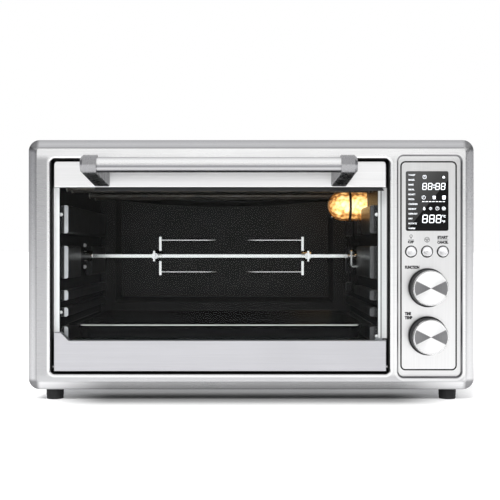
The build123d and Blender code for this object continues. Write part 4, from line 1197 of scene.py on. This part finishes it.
@dataclass
class Door:
    """The drop-down door, its handle and its hinge."""

    nodes: dict[str, bpy.types.Object]
    band_height: float = 3.8 * MM
    band_inset: float = 43.0 * MM

    def build(self) -> None:
        """Dress the door."""
        dress(self.nodes, ["door_top_rail"],
              BrushedMetal("rail_steel", (0.97, 0.97, 0.97), roughness=0.32, contrast=0.14, anisotropy=0.3))
        # The lower rail gets a darker, bluer copy of the rail steel: painted shade.
        dress(self.nodes, ["door_bottom_rail"],
              BrushedMetal("lower_rail_steel", (0.56, 0.56, 0.585), roughness=0.34, contrast=0.12,
                           anisotropy=0.3))
        dress(self.nodes, ["door_glass"], ClearGlass("door_glass"))
        dress(self.nodes, ["glass_gaskets"], Moulding("gasket_rubber"))
        dress(self.nodes, ["handle_tube"], HandleSteel())
        # The brackets get a dark copy of the brushed metal: painted shade.
        dress(self.nodes, ["handle_bracket_left", "handle_bracket_right"],
              BrushedMetal("bracket_metal", (0.33, 0.33, 0.34), Grain.UPRIGHT, roughness=0.28, contrast=0.04,
                           relief=0.002))
        dress(self.nodes, ["handle_screws", "hinge_pins"], BrightMetal("door_screws"))
        dress(self.nodes, ["hinge_arms", "door_springs"], ZincSheet("hinge_zinc"))
        self._band()

    def _band(self) -> None:
        """Lay the dark band on the glass, under the top rail."""
        rail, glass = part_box("door_top_rail"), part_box("door_glass")
        strip = bmesh.new()
        left, right = rail[0].x + self.band_inset, glass[1].x - 0.5 * MM
        half, tall = (right - left) / 2, self.band_height / 2
        stroke(strip, [(-half, -tall), (half, -tall), (half - tall, tall), (tall - half, tall)], 0.5 * MM)
        enamel = Moulding("band_print", (0.018, 0.018, 0.019), 0.35, 0.1, 0.2).make()
        band = piece("door_glass_band", strip, [enamel], smooth=False)
        band.matrix_world = facing_user(Vector(((left + right) / 2, glass[0].y,
                                                rail[0].z - self.band_height / 2)))
        soften(band, 0.2 * MM)
        install(band, "door")


class Icon(Enum):
    """The small pictures on the display and the fascia."""

    CLOCK = "clock"
    LOCK = "lock"
    SLICE = "slice"
    DIAL = "dial"
    FLAME = "flame"
    FAN = "fan"
    SUN = "sun"
    BULB = "bulb"


@dataclass
class Drawing:
    """A set of flat marks that face the user, on one surface."""

    thickness: float = 0.08 * MM
    boldness: float = 0.03

    def __post_init__(self) -> None:
        """Start with an empty drawing."""
        self.shape = bmesh.new()

    def word(self, text: str, at: Point2, size: float, width: float | None = None) -> None:
        """Write a word from its lower left corner, squeezed to a width if one is given."""
        join_drawing(self.shape, lettering(text, size, self.thickness, self.boldness, width), at)

    def digit(self, at: Point2, width: float, height: float, slant: float = 0.08) -> None:
        """Draw a seven-segment figure with every segment lit.

        Args:
            at: The figure's centre.
            width: Its width over the centre lines of its segments.
            height: Its height over the centre lines of its segments.
            slant: How far it leans over per unit of height.
        """
        thick = width * 0.17
        gap = thick * 0.16
        for level in (-height / 2, 0.0, height / 2):
            self._segment(at, (0.0, level), width - 2 * gap, thick, False, slant)
        for side in (-width / 2, width / 2):
            for level in (-height / 4, height / 4):
                self._segment(at, (side, level), height / 2 - 2 * gap, thick, True, slant)

    def _segment(self, at: Point2, middle: Point2, length: float, thick: float, upright: bool,
                 slant: float) -> None:
        """Draw one segment with pointed ends.

        Args:
            at: The figure's centre.
            middle: The segment's middle, from there.
            length: Its length from point to point.
            thick: Its thickness.
            upright: Whether it stands up.
            slant: The figure's lean.
        """
        half, side = length / 2, thick / 2
        outline = [(-half, 0.0), (side - half, -side), (half - side, -side), (half, 0.0),
                   (half - side, side), (side - half, side)]
        turned = [(middle[0] + (y if upright else x), middle[1] + (x if upright else y)) for x, y in outline]
        stroke(self.shape, turned[::-1] if upright else turned, self.thickness, at, slant)

    def dot(self, at: Point2, radius: float) -> None:
        """Draw a round dot."""
        stroke(self.shape, [(radius * math.cos(math.tau * k / 16), radius * math.sin(math.tau * k / 16))
                            for k in range(16)], self.thickness, at)

    def line(self, at: Point2, width: float, height: float, turn: float = 0.0) -> None:
        """Draw a bar, turned by some degrees about its centre."""
        angle = math.radians(turn)
        corners = [(x * math.cos(angle) - y * math.sin(angle), x * math.sin(angle) + y * math.cos(angle))
                   for x, y in bar(width, height)]
        stroke(self.shape, corners, self.thickness, at)

    def ring(self, at: Point2, radius: float, width: float, start: float = 0.0, sweep: float = 360.0) -> None:
        """Draw a ring, or part of one."""
        ring_band(self.shape, at, radius - width, radius, self.thickness, start, sweep, 24)

    def outline(self, low: Point2, high: Point2, radius: float, width: float) -> None:
        """Draw a line just outside a rectangle with rounded corners.

        Args:
            low: The rectangle's lower left corner.
            high: Its upper right corner.
            radius: Its corner radius.
            width: The line's width.
        """
        across, up = high[0] - low[0] - 2 * radius, high[1] - low[1] - 2 * radius
        middle = ((low[0] + high[0]) / 2, (low[1] + high[1]) / 2)
        for side in (-1, 1):
            reach = radius + width / 2
            self.line((middle[0], middle[1] + side * (up / 2 + reach)), across, width)
            self.line((middle[0] + side * (across / 2 + reach), middle[1]), width, up)
        for turn, (x, z) in enumerate(((1, 1), (-1, 1), (-1, -1), (1, -1))):
            centre = (middle[0] + x * across / 2, middle[1] + z * up / 2)
            ring_band(self.shape, centre, radius, radius + width, self.thickness, 90.0 * turn, 90.0, 8)

    def icon(self, kind: Icon, at: Point2, size: float) -> None:
        """Draw one small picture.

        Args:
            kind: Which picture.
            at: Its centre.
            size: Its height.
        """
        half = size / 2
        line = size * 0.08
        if kind in (Icon.CLOCK, Icon.DIAL):
            self.ring(at, half, line)
            self.line((at[0], at[1] + half * 0.25), line, half * 0.7)
            if kind is Icon.CLOCK:
                self.line((at[0] + half * 0.2, at[1]), half * 0.6, line)
        elif kind is Icon.LOCK:
            self.line((at[0], at[1] - half * 0.3), size * 0.7, size * 0.5)
            self.ring((at[0], at[1]), half * 0.6, line, 0.0, 180.0)
        elif kind is Icon.SLICE:
            self.line((at[0], at[1] - half * 0.15), size * 0.72, size * 0.75)
            for side in (-1, 1):
                self.dot((at[0] + side * half * 0.4, at[1] + half * 0.45), half * 0.42)
        elif kind is Icon.FLAME:
            drop = [(half * 0.62 * math.cos(t), half * 0.62 * math.sin(t) - half * 0.3)
                    for t in (math.radians(a) for a in range(160, 381, 20))]
            stroke(self.shape, [*drop, (0.0, half)], self.thickness, at)
        elif kind is Icon.FAN:
            self.ring(at, half, line)
            reach = half * 0.42
            for turn in (0, 120, 240):
                angle = math.radians(turn + 30)
                self.dot((at[0] + reach * math.cos(angle), at[1] + reach * math.sin(angle)), half * 0.26)
        elif kind is Icon.BULB:
            self.ring((at[0], at[1] + half * 0.25), half * 0.7, line * 1.4)
            self.line((at[0], at[1] - half * 0.62), size * 0.26, line * 1.6)
            self.line((at[0], at[1] - half * 0.95), size * 0.18, line * 1.2)
        elif kind is Icon.SUN:
            self.ring(at, half * 0.5, line)
            for turn in range(0, 360, 45):
                angle = math.radians(turn)
                self.line((at[0] + half * 0.82 * math.cos(angle), at[1] + half * 0.82 * math.sin(angle)),
                          half * 0.3, line, turn)

    def finish(self, name: str, origin: Vector, material: bpy.types.Material, body: str, slot: str) -> None:
        """Turn the drawing into a piece.

        Args:
            name: The piece's name.
            origin: Where its own origin goes.
            material: Its material.
            body: The body that it rides on.
            slot: Its material slot; not used.
        """
        made = piece(name, self.shape, [material], smooth=False)
        made.matrix_world = facing_user(origin)
        install(made, body)


@dataclass
class ControlPanel:
    """The fascia with its display, keys and printed labels."""

    nodes: dict[str, bpy.types.Object]
    functions: tuple[str, ...] = ("TOAST", "BAGEL", "BAKE", "BROIL", "ROAST", "PIZZA", "COOKIES", "REHEAT",
                                  "DEFROST", "DRY", "ROTATE", "WARM")

    def build(self) -> None:
        """Dress the panel and draw on it."""
        dress(self.nodes, ["control_fascia"],
              BrushedMetal("fascia_steel", (0.78, 0.78, 0.78), Grain.UPRIGHT, roughness=0.32, contrast=0.07))
        dress(self.nodes, ["display_window"], DisplayGlass())
        dress(self.nodes, ["control_carrier"], Moulding("carrier_plastic"))
        dress(self.nodes, ["display_module"], Glow("display_backing", (0.10, 0.11, 0.12), 0.0))
        dress(self.nodes, ["control_board"], CircuitBoard())
        dress(self.nodes, ["knob_encoders"], CoatedSteel("encoder_can", (0.08, 0.08, 0.085), 0.4, 0.8))
        dress(self.nodes, ["light_button", "fan_button", "start_button"],
              BrightMetal("button_metal", (0.86, 0.86, 0.87), 0.22))
        dress(self.nodes, ["function_shaft", "setting_shaft"], BrightMetal("shaft_steel"))
        self._display()
        self._labels()
        self._button_marks()

    def _display(self) -> None:
        """Draw the lit figures, words and pictures of the display."""
        low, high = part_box("display_window")
        width, height = high.x - low.x, high.z - low.z
        origin = Vector((low.x, low.y, low.z))
        lit = Glow("display_glow", (0.92, 0.95, 1.0), 1.1).make()
        soft = Glow("display_words_glow", (0.80, 0.82, 0.86), 0.7).make()

        figures = Drawing()
        clock_level, heat_level = height * 0.745, height * 0.20
        for place in (0.44, 0.57, 0.745, 0.875):
            figures.digit((width * place, clock_level), width * 0.085, height * 0.105)
        for level in (-0.018, 0.022):
            figures.dot((width * 0.66, clock_level + height * level), width * 0.013)
        for place in (0.45, 0.61, 0.77):
            figures.digit((width * place, heat_level), width * 0.105, height * 0.125)
        figures.finish("display_figures", origin, lit, "oven", "display_glow")

        pictures = Drawing()
        pictures.icon(Icon.CLOCK, (width * 0.44, height * 0.905), width * 0.09)
        pictures.icon(Icon.LOCK, (width * 0.89, height * 0.905), width * 0.075)
        pictures.icon(Icon.DIAL, (width * 0.42, height * 0.56), width * 0.09)
        for place, size in ((0.665, 0.085), (0.895, 0.1)):
            pictures.icon(Icon.SLICE, (width * place, height * 0.56), width * size)
        for step in range(7):
            pictures.line((width * (0.41 + 0.08 * step), height * 0.49), width * 0.055, height * 0.010)
        for place, kind in ((0.43, Icon.FLAME), (0.58, Icon.SUN), (0.74, Icon.DIAL), (0.89, Icon.FAN)):
            pictures.icon(kind, (width * place, height * 0.375), width * 0.085)
        for level, letter in ((0.225, "C"), (0.135, "F")):
            pictures.ring((width * 0.865, height * (level + 0.03)), width * 0.014, width * 0.006)
            pictures.word(letter, (width * 0.885, height * level), height * 0.038)
        pictures.finish("display_pictures", origin, lit, "oven", "display_glow")

        words = Drawing()
        for row, text in enumerate(self.functions):
            words.word(text, (width * 0.06, height * (0.925 - row * 0.0815)), height * 0.026)
        words.finish("display_words", origin, soft, "oven", "display_glow")

    def _labels(self) -> None:
        """Print the labels over the keys and the knobs."""
        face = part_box("control_fascia")[0]
        ink = Ink("panel_ink").make()
        print_run = Drawing(0.05 * MM, 0.11)
        keys = {name: self._centre(f"{name}_button") for name in ("light", "fan", "start")}
        light, fan, start = keys["light"], keys["fan"], keys["start"]
        print_run.icon(Icon.BULB, (light[0], light[1] + 16.2 * MM), 4.6 * MM)
        print_run.line((light[0], light[1] + 12.6 * MM), 6.6 * MM, 0.4 * MM)
        print_run.word("C/F", (light[0] - 3.4 * MM, light[1] + 9.2 * MM), 2.5 * MM, 6.6 * MM)
        print_run.icon(Icon.FAN, (fan[0], fan[1] + 12.8 * MM), 5.8 * MM)
        print_run.word("START", (start[0] - 5.7 * MM, start[1] + 14.0 * MM), 2.9 * MM, 11.4 * MM)
        print_run.line((start[0], start[1] + 12.6 * MM), 12.0 * MM, 0.45 * MM)
        print_run.word("CANCEL", (start[0] - 5.9 * MM, start[1] + 8.8 * MM), 2.7 * MM, 11.9 * MM)
        function, setting = self._centre("function_knob"), self._centre("setting_knob")
        left = face.x + 3.5 * MM
        print_run.word("FUNCTION", (left, function[1] + 20.6 * MM), 3.0 * MM, 15.6 * MM)
        print_run.word("TIME", (left, setting[1] + 22.4 * MM), 3.0 * MM, 6.8 * MM)
        print_run.word("TEMP", (left, setting[1] + 18.0 * MM), 3.0 * MM, 8.2 * MM)
        print_run.finish("fascia_print", Vector((0.0, face.y, 0.0)), ink, "oven", "black_plastic")
        seals = Drawing(0.12 * MM)
        for name in keys:
            seals.ring(keys[name], 6.6 * MM, 1.05 * MM)
        low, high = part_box("control_fascia")
        seals.outline((low.x, low.z), (high.x, high.z), 4.0 * MM, 1.5 * MM)
        rubber = Moulding("seal_rubber", (0.003, 0.003, 0.003), shine=0.05).make()
        seals.finish("panel_seals", Vector((0.0, face.y, 0.0)), rubber, "oven", "black_rubber")

    def _button_marks(self) -> None:
        """Print a small mark on each key's dished face."""
        ink = Ink("key_ink", (0.35, 0.35, 0.36)).make()
        for name, kind in (("light", Icon.SUN), ("fan", Icon.FAN), ("start", Icon.DIAL)):
            x, z = self._centre(f"{name}_button")
            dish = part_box(f"{name}_button")[0].y + 0.42 * MM
            mark = Drawing(0.05 * MM)
            mark.icon(kind, (0.0, 0.0), 3.6 * MM)
            mark.finish(f"{name}_key_mark", Vector((x, dish, z)), ink, f"{name}_key", "black_plastic")

    @staticmethod
    def _centre(node: str) -> Point2:
        """Give the X and Z of a node's centre."""
        low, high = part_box(node)
        return (low.x + high.x) / 2, (low.z + high.z) / 2


@dataclass
class Knob:
    """A turned metal knob on a black skirt."""

    node: str
    body: str
    skirt_depth: float = 3.4 * MM
    rim: float = 0.7 * MM
    draft: float = 1.1 * MM
    bright_flank: float = 3.2 * MM

    def build(self, metal: bpy.types.Material, side: bpy.types.Material, skirt: bpy.types.Material) -> None:
        """Shape the knob and fix it to its shaft.

        Args:
            metal: The finish of the brushed face.
            side: The finish of its flank.
            skirt: The finish of the skirt.
        """
        low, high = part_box(self.node)
        radius = (high.x - low.x) / 2
        depth = high.y - low.y
        top = radius - 1.2 * MM - self.draft
        foot = radius - 1.2 * MM
        profile = [
            (0.0, 0.0), (radius - self.rim, 0.0), (radius, self.rim), (radius, self.skirt_depth - self.rim),
            (radius - self.rim, self.skirt_depth), (foot, self.skirt_depth + 0.01 * MM),
            (foot, self.skirt_depth + 0.4 * MM), (top + 0.25 * MM, depth - self.bright_flank),
            (top + 0.1 * MM, depth - 1.4 * MM), (top, depth - 0.6 * MM), (top - 0.35 * MM, depth - 0.12 * MM),
            (top - 0.8 * MM, depth), (top - 1.2 * MM, depth - 0.05 * MM), (top - 1.6 * MM, depth - 0.55 * MM),
            (top * 0.6, depth - 0.62 * MM), (top * 0.25, depth - 0.66 * MM),
            (0.0, depth - 0.68 * MM),
        ]

        def band(ring: float, height: float) -> int:
            """Choose the face, flank or skirt finish."""
            if height < depth - self.bright_flank:
                return 2
            return 0 if ring < top - 1.3 * MM and height > depth / 2 else 1

        knob = piece(f"{self.node}_turned", lathe(profile, 160, band=band), [metal, side, skirt])
        centre = Vector(((low.x + high.x) / 2, high.y, (low.z + high.z) / 2))
        knob.matrix_world = facing_user(centre)
        install(knob, self.body, [self.node])


@dataclass
class Studio:
    """A plain pale floor, soft lights, and a camera square to the oven's front."""

    field_width: float = 539.2 * MM
    distance: float = 1.05
    sensor: float = 36.0
    aim: tuple[float, float] = (-1.3 * MM, 162.5 * MM)
    screen: Colour = (0.98, 0.98, 0.98)
    flag: Colour = (0.05, 0.05, 0.055)
    sides: Colour = (0.42, 0.42, 0.44)
    ceiling: Colour = (0.95, 0.95, 0.96)

    def build(self) -> None:
        """Set up the studio."""
        self._floor()
        self._sky()
        self._lights()
        self._camera()

    def _floor(self) -> None:
        """Lay the floor, with a soft contact shadow under the oven's front."""
        material, tree = new_tree("floor_paper")
        place = tree.place()
        mottle = tree.noise(place, 3.0, 3.0)
        across, depth = abs(tree.axis(place, "X")), tree.axis(place, "Y")
        shadow = (depth.step(-200 * MM, -150 * MM) * (1.0 - depth.step(-125 * MM, -80 * MM))
                  * (1.0 - across.step(150 * MM, 232 * MM)))
        paper = tree.mix(mottle, (0.90, 0.90, 0.90), (0.93, 0.93, 0.93))
        tree.surface(principled(tree, Base_Color=tree.mix(shadow * 0.8, paper, (0.16, 0.16, 0.16)),
                                Roughness=0.7 + mottle * 0.1,
                                Emission_Color=tree.mix(shadow, (1.0, 1.0, 1.0), (0.0, 0.0, 0.0)),
                                Emission_Strength=0.20))
        sheet = bmesh.new()
        bmesh.ops.create_grid(sheet, x_segments=8, y_segments=8, size=60.0)
        piece("studio_floor", sheet, [material], smooth=False)

    def _sky(self) -> None:
        """Surround the scene with a white backdrop and screen, a pale ceiling, grey sides and dark flags."""
        world = bpy.data.worlds.new("studio_sky")
        bpy.context.scene.world = world
        tree = ShaderTree(world)
        heading = tree.node("ShaderNodeTexCoord", out="Generated")
        across, depth, up = (tree.axis(heading, name) for name in "XYZ")
        flags = (abs(across) * 0.50 - abs(up)).step(-0.03, 0.03) * abs(across).step(0.20, 0.30)
        shade = tree.mix(flags, self.screen, self.flag)
        shade = tree.mix(abs(across).step(0.82, 0.97), shade, self.sides)
        shade = tree.mix(up.step(0.62, 0.80), shade, self.ceiling)
        shade = tree.mix(depth.step(0.3, 0.75), shade, (1.0, 1.0, 1.0))
        tree.node("ShaderNodeOutputWorld", None,
                  Surface=tree.node("ShaderNodeBackground", None, Color=shade, Strength=1.0))

    def _lights(self) -> None:
        """Hang one broad lamp high in front, which lights the floor evenly out to the backdrop."""
        light = bpy.data.lights.new("key_lamp", "SUN")
        light.energy = 2.3
        light.angle = math.radians(24)
        lamp = bpy.data.objects.new("key_lamp", light)
        lamp.visible_glossy = False
        lamp.rotation_euler = Vector((0.18, 0.62, -0.76)).to_track_quat("-Z", "Y").to_euler()
        bpy.context.scene.collection.objects.link(lamp)

    def _camera(self) -> None:
        """Place the camera square to the front, at the height of the middle of the view."""
        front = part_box("front_frame")[0].y
        data = bpy.data.cameras.new("camera")
        data.sensor_width = self.sensor
        data.lens = self.sensor * self.distance / self.field_width
        camera = bpy.data.objects.new("camera", data)
        camera.location = (self.aim[0], front - self.distance, self.aim[1])
        camera.rotation_euler = (math.radians(90), 0.0, 0.0)
        bpy.context.scene.collection.objects.link(camera)
        bpy.context.scene.camera = camera
        bpy.context.scene.view_settings.view_transform = "Standard"


def main() -> None:
    """Build the looks of the oven."""
    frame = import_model()
    nodes = frame["nodes"]
    Studio().build()
    DoorSurround().build()
    for assembly in (Casing, Cavity, LampUnit, Rotisserie, Door, ControlPanel):
        log.info("building %s", assembly.__name__)
        assembly(nodes).build()
    metal = TurnedFace().make()
    side = BrightMetal("knob_flank", (0.80, 0.80, 0.80), 0.2).make()
    skirt = Moulding("knob_skirt", roughness=0.4).make()
    for name in ("function", "setting"):
        Knob(f"{name}_knob", f"{name}_dial").build(metal, side, skirt)


if __name__ == "__main__":
    main()
